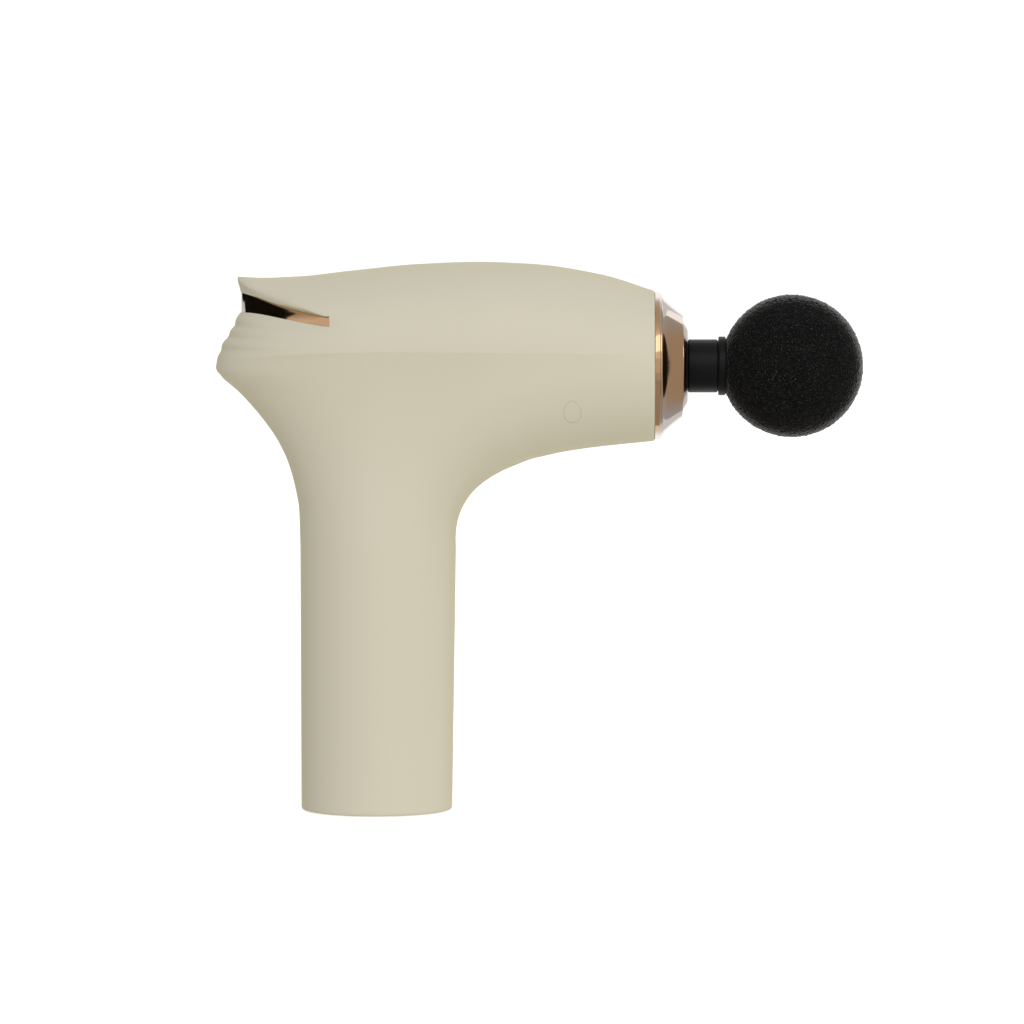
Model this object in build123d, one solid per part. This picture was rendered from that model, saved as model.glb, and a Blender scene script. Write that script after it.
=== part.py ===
from build123d import *
from build123d.topology import SkipClean
import math
import os

# Handheld percussion massage gun. Millimetres. +Z up, +X towards the massage ball, base plane at Z = 0.
# The origin is the centre of the flat round base on which the gun stands.

# ---- housing: driving dimensions ----
HEAD_Z = 148.0            # height of the stroke axis above the base
FRONT_X = 92.7            # front rim of the housing, where the metal nose ring starts
FRONT_RADIUS = 24.95      # the front rim is a circle about the stroke axis
GRIP_RADIUS = 25.2        # half thickness of the round grip at the base
GRIP_TOP_Z = 88.0         # up to here the grip is a plain, slightly flaring cylinder
GRIP_FLARE = 1.3          # how far the front of the grip moves forward over that height
WALL = 2.4                # housing wall
THROAT_X = 57.2           # centre of the fan of sections that turns the grip into the head
CREASE_HALF_WIDTH = 30.2  # half width of the head at the side crease, above the grip
CREASE_START_Z = 96.0     # below this height the side has no extra width
CIRCLE_START_X = 45.0     # from here forward the sections become circles about the stroke axis
SECTION_STEPS = 22        # points along one cross-section
BLUNT_EDGE = 12.0         # keeps the edge of the wing from getting thinner than this allows

# ---- drive: driving dimensions ----
FRAME_FLOOR_Z = 104.5     # underside of the drive frame, above the battery pack
CHEEK_INSIDE_Y = 20.2     # the two cheeks of the frame stand either side of the motor
CHEEK_OUTSIDE_Y = 22.2
CRANK_RADIUS = 5.0        # eccentricity, gives a 10 mm stroke
ROD_LENGTH = 30.0         # between the two bearings of the connecting rod
ROD_HALF_THICKNESS = 2.8
CRANK_TOP_Z = 142.5
CRANK_THICKNESS = 5.0
SHAFT_RADIUS = 2.5
CRANK_PIN_RADIUS = 2.0
WRIST_PIN_RADIUS = 2.5
OPEN_GAP = 0.2            # between the crank disc and the crank pin, where the loop is opened
RUNNING_GAP = 0.05        # radial clearance of a running fit
PLUNGER_RADIUS = 11.0
PLUNGER_FRONT_X = 99.0
SOCKET_RADIUS = 8.95      # bore that takes the stem of the massage head
SOCKET_END_X = 72.0
SLEEVE_REAR_X = 44.0
SLEEVE_FRONT_X = 92.0
SLEEVE_RADIUS = 15.0
BUSH_RADIUS = 13.0
MOTOR_RADIUS = 19.5       # outside of the rotor bell
MOTOR_BASE_Z = 107.5
MOTOR_PLATE = 3.0
STATOR_RADIUS = 16.6
STATOR_BOTTOM_Z = 115.0
STATOR_TOP_Z = 127.0
TOOTH_COUNT = 12
MAGNET_COUNT = 14
BEARING_TUBE_RADIUS = 9.5
BEARING_OUTER_RADIUS = 8.0
BEARING_WIDTH = 5.0
BALL_COUNT = 8

# ---- massage head ----
STEM_RADIUS = 8.85
STEM_REAR_X = 75.0
STEM_FRONT_X = 125.0
COLLAR_RADIUS = 9.8
COLLAR_REAR_X = 113.8
COLLAR_FRONT_X = 116.2
BALL_X = 138.2
BALL_RADIUS = 23.7
CORE_RADIUS = 13.0
CORE_WALL = 2.0
CORE_NECK_RADIUS = 11.2   # the neck holds the stem and lies wholly inside the foam
CORE_NECK_REAR_X = 118.0

# ---- battery and electronics ----
CELL_RADIUS = 9.2         # 18650 cell with its sleeve
CELL_BOTTOM_Z = 24.3
CELL_TOP_Z = 88.7
CELL_CIRCLE = 10.85       # the three cells stand on this circle
LINK_THICKNESS = 0.3
HOLDER_RADIUS = 22.2
HOLDER_FLOOR = 3.0
HOLDER_HEIGHT = 6.0
CHANNEL_RADIUS = 18.6     # wires run at this distance from the grip axis
BOARD_THICKNESS = 1.6
CONTROL_BOARD_Z = 14.0
CHARGE_BOARD_Z = 8.0
CAP_THICKNESS = 3.2
CAP_RADIUS = 22.7

# ---- button ----
BUTTON_X = 65.5
BUTTON_Z = 132.8
BUTTON_HALF_WIDTH = 2.95
BUTTON_HALF_HEIGHT = 3.75
BUTTON_TOP_RADIUS = 1.7
BUTTON_GAP = 0.15
SWITCH_Z = BUTTON_Z - 1.0  # the switch sits behind the wide end of the button
SWITCH_BOARD_Y = -11.0
SWITCH_FACE_Y = -15.0

# ---- fasteners ----
SCREW_RADIUS = 1.25
SCREW_HEAD_RADIUS = 2.8
SCREW_SEAT_Y = 6.0
HOUSING_SCREWS = ((34, 118), (80, 128.2), (-38, 147), (-22, 171.3), (60, 171), (-10, 98.4))
BASE_SCREW_Y = 18.6

MIN = (Align.CENTER, Align.CENTER, Align.MIN)
os.makedirs("parts", exist_ok=True)
# the narrow strips of the housing surface stay as they are: merging them would bend the surface
SkipClean.clean = False


# ---------------------------------------------------------------- small helpers
def rod_z(radius, bottom, top, x=0.0, y=0.0):
    return Pos(x, y, bottom) * Cylinder(radius, top - bottom, align=MIN)


def rod_x(radius, rear, front, y=0.0, z=HEAD_Z):
    return Pos(rear, y, z) * Rot(0, 90, 0) * Cylinder(radius, front - rear, align=MIN)


def rod_y(radius, near, far, x, z):
    return Pos(x, near, z) * Rot(-90, 0, 0) * Cylinder(radius, far - near, align=MIN)


def tube_z(outside, inside, bottom, top):
    return rod_z(outside, bottom, top) - rod_z(inside, bottom - 1, top + 1)


def tube_x(outside, inside, rear, front):
    return rod_x(outside, rear, front) - rod_x(inside, rear - 1, front + 1)


def block(x_range, y_range, z_range):
    size = [high - low for low, high in (x_range, y_range, z_range)]
    middle = [(high + low) / 2 for low, high in (x_range, y_range, z_range)]
    return Pos(*middle) * Box(*size)


def turned_x(points):
    """Solid of revolution about the stroke axis from (x, radius) points."""
    outline = Polyline(*[(x, r) for x, r in points], close=True)
    return Pos(0, 0, HEAD_Z) * revolve(make_face(outline), Axis.X)


def prism_y(points, near, far):
    """Plate standing in the XZ plane between two Y values."""
    outline = Polyline(*[(x, 0, z) for x, z in points], close=True)
    return extrude(Pos(0, near, 0) * make_face(outline), far - near, dir=(0, 1, 0))


def lead(points, radius, bend):
    """Round wire along straight runs joined by arcs."""
    path = FilletPolyline(*points, radius=bend)
    start = Plane(path @ 0, z_dir=path % 0)
    return sweep(start * Circle(radius), path=path)


def solids_of(shape):
    """Only the solid pieces of a boolean result, as one shape."""
    pieces = shape.solids() if hasattr(shape, "solids") else [p for s in shape for p in s.solids()]
    return pieces[0] if len(pieces) == 1 else Compound(list(pieces))


def common(first, second):
    return solids_of(first & second)


def around(shape, count):
    return [Rot(0, 0, 360 * k / count) * shape for k in range(count)]


def joined(shapes):
    whole = shapes[0]
    for shape in shapes[1:]:
        whole = whole + shape
    return whole


def save(name, shape):
    export_step(solids_of(shape), f"parts/{name}.step")


# ---------------------------------------------------------------- housing surface
def curve_through(points):
    """Smooth curve through a few points that never overshoots between them."""
    xs = [p[0] for p in points]
    ys = [p[1] for p in points]
    last = len(xs) - 1
    width = [xs[i + 1] - xs[i] for i in range(last)]
    slope = [(ys[i + 1] - ys[i]) / width[i] for i in range(last)]
    tangent = [slope[0]] + [0.0] * (last - 1) + [slope[-1]]
    for i in range(1, last):
        if slope[i - 1] * slope[i] > 0:
            first = 2 * width[i] + width[i - 1]
            second = width[i] + 2 * width[i - 1]
            tangent[i] = (first + second) / (first / slope[i - 1] + second / slope[i])

    def value(x):
        if x <= xs[0]:
            return ys[0]
        if x >= xs[-1]:
            return ys[-1]
        i = max(k for k in range(last) if xs[k] <= x)
        t = (x - xs[i]) / width[i]
        start = ys[i] * (1 + 2 * t) * (1 - t) ** 2 + tangent[i] * width[i] * t * (1 - t) ** 2
        return start + ys[i + 1] * t * t * (3 - 2 * t) + tangent[i + 1] * width[i] * t * t * (t - 1)

    return value


def ease(t):
    t = min(max(t, 0.0), 1.0)
    return t * t * (3 - 2 * t)


# height of the top line, the side crease and the underside along X
top_line = curve_through([(-46.2, 177.7), (-38, 177.3), (-25.5, 177.8), (-8, 179.7), (14.5, 181.9),
                          (34, 182.6), (52, 181.9), (74.5, 178.5), (92.7, 172.9)])
crease_line = curve_through([(-53.5, 147.0), (-48.8, 149.2), (-38.8, 150.8), (-28.8, 151.8),
                             (-12, 152.5), (10, 152.8), (45, 152.5), (92.7, 151.8)])
under_line = curve_through([(57.2, 118.3), (73, 121.0), (92.7, 123.05)])
# radius of the throat between grip and head, by fan angle in degrees
throat_radius = curve_through([(90, 30.3), (100.5, 29.5), (112, 29.0), (122, 29.3), (131, 29.85),
                               (141, 30.6), (150, 31.1), (160, 31.3), (180, 30.7)])
# half width at the crease along X
crease_width = curve_through([(35, CREASE_HALF_WIDTH), (56, 28.3), (71, 27.3), (81, 26.5),
                              (FRONT_X, FRONT_RADIUS)])
# X of the back edge by height above the crease: grip back, tail, stepped ribs, wing
back_line = curve_through([(-62, -25.4), (-52, -25.8), (-44, -27.2), (-35.7, -29.5), (-28.8, -32.8),
                           (-20.2, -38.2), (-11.2, -45.2), (0, -53.5), (4.9, -52.2), (8.6, -49.8),
                           (12.1, -47.4), (16, -45.1), (22.5, -45.2), (27.9, -46.2)])
# X where the rounding towards the back begins, by height above the crease
middle_line = curve_through([(-62, 0.5), (-30, 2.5), (30, 2.5)])


def grip_front(z):
    return GRIP_RADIUS + GRIP_FLARE * z / GRIP_TOP_Z


def grip_back(z):
    return -GRIP_RADIUS - 0.2 * z / GRIP_TOP_Z


def depth_from_underside(x, z):
    """Distance of a point in the middle plane from the front of the grip, the throat or the underside."""
    if z < GRIP_TOP_Z:
        return grip_front(z) - x
    if x > THROAT_X:
        return z - under_line(x)
    angle = math.degrees(math.atan2(z - GRIP_TOP_Z, x - THROAT_X))
    return math.hypot(x - THROAT_X, z - GRIP_TOP_Z) - throat_radius(angle)


def half_width(x, z):
    """Half width of the closed housing at a point of its middle plane."""
    above_crease = z - crease_line(x)
    if z < GRIP_TOP_Z:
        middle = (grip_front(z) + grip_back(z)) / 2
        back = grip_back(z)
        base_width = middle - back
    else:
        middle = middle_line(above_crease)
        back = back_line(above_crease)
        base_width = GRIP_RADIUS + 0.75 * (1 - ease((z - GRIP_TOP_Z) / 30))
    back_round = math.sqrt(max(0.0, 1 - (max(0.0, middle - x) / (middle - back)) ** 2))
    depth = max(depth_from_underside(x, z), 0.0)
    under_round = math.sqrt(max(0.0, 1 - (1 - min(depth / base_width, 1)) ** 2))
    blend = ease((x - CIRCLE_START_X) / (FRONT_X - CIRCLE_START_X))
    widest_z = crease_line(x) + (HEAD_Z - crease_line(x)) * blend
    rise = max(0.0, z - widest_z) / (top_line(x) - widest_z)
    top_round = math.sqrt(max(0.0, 1 - rise * rise))
    lift = min(max((z - CREASE_START_Z) / (crease_line(x) - CREASE_START_Z), 0.0), 1.0)
    width = base_width + (crease_width(x) - base_width) * lift * lift
    return width * back_round * under_round * top_round


def throat_point(angle):
    radius = throat_radius(angle)
    return (THROAT_X + radius * math.cos(math.radians(angle)),
            GRIP_TOP_Z + radius * math.sin(math.radians(angle)))


def back_point(angle):
    """Where the fan line at this angle meets the back edge."""
    z = -back_height(angle)
    x = back_line(z - crease_line(-40))
    for _ in range(4):  # the crease height depends a little on x, so x settles in a few rounds
        x = back_line(z - crease_line(x))
    return (x, z)


# height of the back edge by fan angle, up to the wing tip; then X of the top line by fan angle
back_height = curve_through([(110, -177.7), (113, -172.3), (117, -166.0), (120, -161.8),
                             (124, -158.3), (128, -152.8), (133, -147.0), (141, -133.2),
                             (156, -114.6), (172, -98), (180, -88)])
top_x = curve_through([(90, -THROAT_X), (98, -12), (104, 25), (110, 46.2)])

# each station is the pair of middle-plane points between which one cross-section spans
stations = [((grip_front(z), z), (grip_back(z), z)) for z in (0, 44, GRIP_TOP_Z)]
stations += [(throat_point(angle), back_point(angle)) for angle in range(176, 111, -4)]
stations += [(throat_point(angle), (-top_x(angle), top_line(-top_x(angle)))) for angle in range(110, 89, -2)]
stations += [((x, under_line(x)), (x, top_line(x))) for x in (63, 69, 75, 81, 87, FRONT_X)]


def section_wire(station, inset):
    """D-shaped half section standing on the middle plane, shrunk evenly by the inset."""
    (x_in, z_in), (x_out, z_out) = station
    length = math.hypot(x_out - x_in, z_out - z_in)
    ux, uz = (x_out - x_in) / length, (z_out - z_in) / length
    fractions = [(1 - math.cos(math.pi * k / SECTION_STEPS)) / 2 for k in range(SECTION_STEPS + 1)]
    widths = [max(half_width(x_in + ux * length * t, z_in + uz * length * t),
                  BLUNT_EDGE * math.sqrt(t * (1 - t)))
              for t in fractions]
    widths[0] = widths[-1] = 0.0
    shrink = (max(widths) - inset) / max(widths)
    points = []
    for t, width in zip(fractions, widths):
        along = inset + (length - 2 * inset) * t
        points.append(Vector(x_in + ux * along, width * shrink, z_in + uz * along))
    curve = Edge.make_spline(points, tangents=[Vector(0, 1, 0), Vector(0, -1, 0)])
    if inset == 0:
        return Wire([curve, Edge.make_line(points[-1], points[0])])
    past = Vector(0, -1, 0)
    corners = [points[-1], points[-1] + past, points[0] + past, points[0]]
    return Wire([curve] + [Edge.make_line(a, b) for a, b in zip(corners, corners[1:])])


def half_body(inset):
    """Left half of the filled housing, shrunk by the inset; a shrunk body runs on past its open faces."""
    wires = [section_wire(station, inset) for station in stations]
    if inset > 0:
        wires.insert(0, wires[0].moved(Location((0, 0, -2))))
        wires.append(wires[-1].moved(Location((2, 0, 0))))
    return Solid.make_loft(wires, True)


outer_left = half_body(0.0)
inner_left = half_body(WALL)

# rose-gold trim: a band let into the wall, wrapping round the back from one side to the other
trim_upper = [(-15.5, 164.2), (-25.5, 166.5), (-32.2, 168.2), (-38.8, 170.5), (-60, 176.5)]
trim_lower = [(-60, 167.5), (-44.8, 166.0), (-38.8, 165.3), (-25.5, 163.0), (-15.5, 161.3)]
trim_edge = [Spline(*[(x, 0, z) for x, z in trim_upper]), Line((-60, 0, 176.5), (-60, 0, 167.5)),
             Spline(*[(x, 0, z) for x, z in trim_lower]), Line((-15.5, 0, 161.3), (-15.5, 0, 164.2))]
trim_prism = extrude(Pos(0, -0.5, 0) * make_face(Curve() + trim_edge), 40, dir=(0, 1, 0))
trim_floor = loft([Pos(2.5, 0, z) * Ellipse(length, width)
                   for z, length, width in ((158, 51.8, 28.2), (166, 46.3, 23.8), (177, 46.3, 8.5))])
trim_space = solids_of(trim_prism - trim_floor)
trim_left = common(outer_left, trim_space)


def button_prism(grow, near, far):
    """Egg-shaped prism, narrow end up: a large and a small circle joined by their tangents."""
    wide = BUTTON_HALF_WIDTH + grow
    narrow = BUTTON_TOP_RADIUS + grow
    wide_circle = Pos(0, BUTTON_HALF_WIDTH - BUTTON_HALF_HEIGHT) * Circle(wide)
    narrow_circle = Pos(0, BUTTON_HALF_HEIGHT - BUTTON_TOP_RADIUS) * Circle(narrow)
    face = make_hull((wide_circle + narrow_circle).edges())
    standing = Pos(BUTTON_X, near, BUTTON_Z) * Rot(90, 0, 0) * face
    return solids_of(extrude(standing, far - near, dir=(0, 1, 0)))


shell_left = solids_of(outer_left - inner_left)
left = shell_left
# the right half is worked out on the same side and mirrored when it is finished
right = shell_left
for x, z in HOUSING_SCREWS:
    left = left + common(rod_y(4.4, 0, 40, x, z), outer_left)
    left = left - rod_y(SCREW_HEAD_RADIUS + 0.3, SCREW_SEAT_Y, 40, x, z)
    left = left - rod_y(SCREW_RADIUS + 0.2, -1, 40, x, z)
    right = right + common(rod_y(3.4, 0, 40, x, z), outer_left)
    right = right - rod_y(SCREW_RADIUS + 0.02, -1, 8, x, z)
base_boss = rod_z(3.4, CAP_THICKNESS, 12, 0, BASE_SCREW_Y)
base_boss = base_boss + block((-1.2, 1.2), (18, 23.5), (CAP_THICKNESS, 12))
left = left + base_boss - rod_z(SCREW_RADIUS + 0.02, 0, 11, 0, BASE_SCREW_Y)
right = right + base_boss - rod_z(SCREW_RADIUS + 0.02, 0, 11, 0, BASE_SCREW_Y)
for x in (BUTTON_X - 5.6, BUTTON_X + 5.6):
    right = right + common(rod_y(1.5, -SWITCH_BOARD_Y, 30, x, BUTTON_Z - 4.2), outer_left)
right = right - button_prism(BUTTON_GAP, 12, 40)
left = left - trim_space
right = right - trim_space
save("housing_left", left)
save("housing_right", mirror(solids_of(right), Plane.XZ))
save("rear_trim", trim_left + mirror(trim_left, Plane.XZ))

screw = Pos(0, 0, 0) * Cylinder(SCREW_HEAD_RADIUS, 2, align=MIN) + rod_z(SCREW_RADIUS, -13, 0.1)
screw = screw - Pos(0, 0, 1) * extrude(RegularPolygon(1.3, 6), 2)
save("housing_screws", Compound([Pos(x, SCREW_SEAT_Y, z) * Rot(-90, 0, 0) * screw
                                 for x, z in HOUSING_SCREWS]))

# ---------------------------------------------------------------- nose ring, bezel and seals
# band, groove, a cone that flares towards the band, and the stepped inside that holds bezel and damper
ring_outline = [(FRONT_X, 24.7), (94.3, 24.7), (94.3, 23.9), (94.9, 23.9), (95.9, 22.6), (96.9, 21.5),
                (99.5, 19.1), (101.9, 17.1), (101.9, 14.0), (97.0, 14.0), (97.0, 16.2), (93.5, 20.8),
                (91.5, 20.8), (91.5, 17.0), (88.5, 17.0), (88.5, 20.8), (86.0, 20.8), (86.0, 22.35),
                (FRONT_X, 22.35)]
save("front_ring", turned_x(ring_outline))
bezel_outline = [(93.5, 12.3), (93.5, 13.95), (101.9, 13.95), (101.9, 15.0), (102.5, 15.0),
                 (103.6, 12.8), (103.3, 12.3)]
save("nose_bezel", turned_x(bezel_outline))
save("dust_seal", tube_x(12.28, PLUNGER_RADIUS + RUNNING_GAP, 94.5, 97.5))
save("front_damper", tube_x(16.98, SLEEVE_RADIUS + 0.02, 88.5, 91.5))

# ---------------------------------------------------------------- drive frame and guide
cheek_outline = [(-4, FRAME_FLOOR_Z), (4, FRAME_FLOOR_Z), (5, 112), (12, 120), (28, 134), (46, 140),
                 (46, 156), (-8, 156), (-8, 134), (-4, 122)]
frame = tube_z(21.5, BEARING_TUBE_RADIUS + 0.1, FRAME_FLOOR_Z, MOTOR_BASE_Z)
for near, far in ((CHEEK_INSIDE_Y, CHEEK_OUTSIDE_Y), (-CHEEK_OUTSIDE_Y, -CHEEK_INSIDE_Y)):
    frame = frame + prism_y(cheek_outline, near, far)
    window = Pos(10, near - 1, 145) * Rot(-90, 0, 0) * Cylinder(6, 4, align=MIN)
    frame = frame - window
bulkhead = block((SLEEVE_REAR_X, SLEEVE_REAR_X + 4), (-CHEEK_OUTSIDE_Y, CHEEK_OUTSIDE_Y),
                 (HEAD_Z - 14, HEAD_Z + 14))
frame = frame + fillet(bulkhead.edges().filter_by(Axis.X), 6)
frame = frame - rod_x(SLEEVE_RADIUS, SLEEVE_REAR_X - 4, SLEEVE_REAR_X + 6)
lead_slot = Rot(0, 0, 60) * block((10.9, 13.9), (-4.2, 4.2), (100, 115))
frame = frame - lead_slot
frame_screw_spots = [Rot(0, 0, 45 + 90 * k) * Pos(17.5, 0, 0) for k in range(4)]
for spot in frame_screw_spots:
    frame = frame - spot * rod_z(SCREW_RADIUS, 100, 110)
save("drive_frame", frame)
save("guide_sleeve", tube_x(SLEEVE_RADIUS, BUSH_RADIUS, SLEEVE_REAR_X, SLEEVE_FRONT_X))
save("rear_bush", tube_x(BUSH_RADIUS, PLUNGER_RADIUS + RUNNING_GAP, 46, 56))
save("front_bush", tube_x(BUSH_RADIUS, PLUNGER_RADIUS + RUNNING_GAP, 80, 91))
save("rear_damper", tube_z(20.5, 15.5, FRAME_FLOOR_Z - 1.5, FRAME_FLOOR_Z))

# ---------------------------------------------------------------- motor, fixed side
motor_base = tube_z(MOTOR_RADIUS, BEARING_TUBE_RADIUS - 0.1, MOTOR_BASE_Z, MOTOR_BASE_Z + MOTOR_PLATE)
bearing_tube = rod_z(BEARING_TUBE_RADIUS, MOTOR_BASE_Z, 129) - rod_z(BEARING_OUTER_RADIUS, 100, 140)
bearing_tube = bearing_tube + tube_z(BEARING_TUBE_RADIUS, 7.0, 113.5, 123.5)
motor_base = motor_base + bearing_tube - lead_slot
for spot in frame_screw_spots:
    motor_base = motor_base - spot * rod_z(SCREW_RADIUS + 0.15, 100, 115)
save("motor_base", motor_base)
motor_plate_top = MOTOR_BASE_Z + MOTOR_PLATE
motor_screw = rod_z(2.2, motor_plate_top, motor_plate_top + 1.6)
motor_screw = motor_screw + rod_z(SCREW_RADIUS, 105.5, motor_plate_top + 0.1)
save("motor_screws", Compound([spot * motor_screw for spot in frame_screw_spots]))

tooth = block((11.5, 16.0), (-1.3, 1.3), (STATOR_BOTTOM_Z, STATOR_TOP_Z))
shoe = common(tube_z(STATOR_RADIUS, 15.7, STATOR_BOTTOM_Z, STATOR_TOP_Z),
              block((10, 20), (-3.3, 3.3), (STATOR_BOTTOM_Z, STATOR_TOP_Z)))
core = tube_z(12, BEARING_TUBE_RADIUS, STATOR_BOTTOM_Z, STATOR_TOP_Z)
save("stator_core", joined([core] + around(tooth + shoe, TOOTH_COUNT)))
coil = fillet(block((12.4, 15.4), (-2.9, 2.9), (113.6, 128.4)).edges().filter_by(Axis.X), 1.2)
coil = coil - block((12, 16), (-1.3, 1.3), (STATOR_BOTTOM_Z, STATOR_TOP_Z))
save("stator_windings", joined([tube_z(14.2, 12.6, 112.8, 113.8)] + around(coil, TOOTH_COUNT)))

# ball bearings: lower and upper, each as outer ring, inner ring and caged balls
BALL_CIRCLE = 5.3
BEARING_BALL_RADIUS = 1.3


def bearing_pieces(bottom):
    middle = bottom + BEARING_WIDTH / 2
    track = Pos(0, 0, middle) * Torus(BALL_CIRCLE, BEARING_BALL_RADIUS + 0.03)
    outer = tube_z(BEARING_OUTER_RADIUS, 6.1, bottom, bottom + BEARING_WIDTH) - track
    inner = tube_z(4.5, SHAFT_RADIUS, bottom, bottom + BEARING_WIDTH) - track
    ball = Pos(BALL_CIRCLE, 0, middle) * Sphere(BEARING_BALL_RADIUS)
    cage = tube_z(5.7, 4.9, middle - 0.5, middle + 0.5)
    return outer, inner, joined([cage] + around(ball, BALL_COUNT))


lower_bearing = bearing_pieces(108.5)
upper_bearing = bearing_pieces(123.6)
for name, lower, upper in zip(("outer_races", "inner_races", "balls"), lower_bearing, upper_bearing):
    save(f"motor_bearing_{name}", Compound([lower, upper]))

# ---------------------------------------------------------------- motor, turning side
bell = rod_z(MOTOR_RADIUS, 113.5, 132) - rod_z(18.2, 110, 130) + rod_z(6, 131, 136.5)
bell = bell - rod_z(SHAFT_RADIUS, 100, 140)
for vent in around(rod_z(2.6, 129, 133, 12, 0), 6):
    bell = bell - vent
save("rotor_bell", bell)
magnets = tube_z(18.2, 16.95, 114.5, 127.5)
gap_cut = block((16.0, 17.9), (-0.35, 0.35), (114, 128))
for cut in around(gap_cut, MAGNET_COUNT):
    magnets = magnets - cut
save("rotor_magnets", magnets)
save("motor_shaft", chamfer(rod_z(SHAFT_RADIUS, 108.2, CRANK_TOP_Z - 0.3).edges(), 0.3))
# the disc carries a counterweight segment opposite the crank pin
crank_bottom = CRANK_TOP_Z - CRANK_THICKNESS
crank = rod_z(9.5, crank_bottom, CRANK_TOP_Z)
crank = crank + common(rod_z(16, crank_bottom, CRANK_TOP_Z), block((2, 20), (-20, 20), (130, 150)))
crank = crank - rod_z(SHAFT_RADIUS, 130, 150)
crank = crank - rod_z(CRANK_PIN_RADIUS + 0.05, CRANK_TOP_Z - 3.5, 150, -CRANK_RADIUS, 0)
save("crank_disc", crank)

# ---------------------------------------------------------------- connecting rod
rod_bottom = HEAD_Z - ROD_HALF_THICKNESS
rod_top = HEAD_Z + ROD_HALF_THICKNESS
big_x = -CRANK_RADIUS
small_x = ROD_LENGTH - CRANK_RADIUS
rod = rod_z(9, rod_bottom, rod_top, big_x) + rod_z(5.5, rod_bottom, rod_top, small_x)
rod = rod + block((big_x, small_x), (-3.5, 3.5), (rod_bottom, rod_top))
rod = rod - block((big_x + 11, small_x - 8), (-2, 2), (rod_top - 1.2, rod_top + 1))
rod = rod - rod_z(6.5, 140, 156, big_x) - rod_z(3.6, 140, 156, small_x)
save("connecting_rod", rod)
bearing = rod_z(6.5, rod_bottom, rod_top, big_x) - rod_z(CRANK_PIN_RADIUS, 140, 156, big_x)
shield = rod_z(5.6, rod_top - 0.3, rod_top + 1, big_x) - rod_z(3.0, rod_top - 1, rod_top + 2, big_x)
save("big_end_bearing", bearing - shield)
pin = rod_z(CRANK_PIN_RADIUS, CRANK_TOP_Z + OPEN_GAP, rod_top + 1.6, big_x)
save("crank_pin", pin + rod_z(3.0, rod_top, rod_top + 1.6, big_x))
bush = rod_z(3.6, rod_bottom, rod_top, small_x) - rod_z(WRIST_PIN_RADIUS + RUNNING_GAP, 140, 156, small_x)
save("small_end_bush", bush)

# ---------------------------------------------------------------- plunger and its wrist pin
fork = common(rod_x(PLUNGER_RADIUS, 19, 43), block((10, 50), (-12, 12), (139.4, 156.6)))
plunger = rod_x(PLUNGER_RADIUS, 42, PLUNGER_FRONT_X) + fork
plunger = plunger - block((18, 38), (-12, 12), (HEAD_Z - 3.2, HEAD_Z + 3.2))
plunger = plunger - rod_x(SOCKET_RADIUS, SOCKET_END_X, 110) - rod_x(6.5, 48, SOCKET_END_X)
plunger = plunger - rod_z(WRIST_PIN_RADIUS, 130, 165, small_x)
save("plunger", plunger)
save("wrist_pin", chamfer(rod_z(WRIST_PIN_RADIUS, 139.6, 156.4, small_x).edges(), 0.3))

# ---------------------------------------------------------------- massage head
RING_SECTION = 0.95
GROOVE_FLOOR_RADIUS = 7.0
GROOVE_HALF_WIDTH = 1.1
ring_spots = (80, 92)
stem = chamfer(rod_x(STEM_RADIUS, STEM_REAR_X, STEM_FRONT_X).edges(), 0.8)
stem = stem - rod_x(6.0, STEM_REAR_X - 1, 108)
for x in ring_spots:
    stem = stem - tube_x(STEM_RADIUS + 1, GROOVE_FLOOR_RADIUS, x - GROOVE_HALF_WIDTH, x + GROOVE_HALF_WIDTH)
save("head_stem", stem)
seal = Rot(0, 90, 0) * Torus(GROOVE_FLOOR_RADIUS + RING_SECTION + 0.02, RING_SECTION)
save("stem_o_rings", Compound([Pos(x, 0, HEAD_Z) * seal for x in ring_spots]))
save("head_collar", chamfer(rod_x(COLLAR_RADIUS, COLLAR_REAR_X, COLLAR_FRONT_X).edges(), 0.3)
     - rod_x(STEM_RADIUS, 100, 130))
ball_centre = Pos(BALL_X, 0, HEAD_Z)
core_outside = ball_centre * Sphere(CORE_RADIUS)
core_outside = core_outside + rod_x(CORE_NECK_RADIUS, CORE_NECK_REAR_X, BALL_X - CORE_RADIUS / 2)
stem_bore = rod_x(STEM_RADIUS, 100, STEM_FRONT_X)
save("ball_core", core_outside - ball_centre * Sphere(CORE_RADIUS - CORE_WALL) - stem_bore)
foam = ball_centre * Sphere(BALL_RADIUS) - core_outside - stem_bore
foam = foam - rod_x(COLLAR_RADIUS, 100, COLLAR_FRONT_X)
save("foam_ball", foam)

# ---------------------------------------------------------------- base cap and charging
post_spots = [(sx * 14, sy * 13) for sx in (-1, 1) for sy in (-1, 1)]
cap = chamfer(rod_z(CAP_RADIUS, 0, CAP_THICKNESS).edges().sort_by(Axis.Z)[:1], 0.4)
for x, y in post_spots:
    cap = cap + rod_z(2.0, CAP_THICKNESS - 0.5, CONTROL_BOARD_Z, x, y)
for x, y in ((-9, 6), (9, -6)):
    cap = cap + rod_z(1.5, CAP_THICKNESS - 0.5, CHARGE_BOARD_Z, x, y)
inlet = fillet(Box(9.5, 3.8, 20).edges().filter_by(Axis.Z), 1.85)
cap = cap - inlet - rod_z(1.5, -1, 5, 12, 0)
for side in (1, -1):
    cap = cap - rod_z(SCREW_HEAD_RADIUS + 0.2, -1, 1.9, 0, side * BASE_SCREW_Y)
    cap = cap - rod_z(SCREW_RADIUS + 0.2, -1, 5, 0, side * BASE_SCREW_Y)
save("base_cap", cap)
base_screw = rod_z(SCREW_HEAD_RADIUS, 0.4, 1.9) + rod_z(SCREW_RADIUS, 1.8, 10.5)
base_screw = base_screw - extrude(RegularPolygon(1.3, 6), 1.2)
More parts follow.
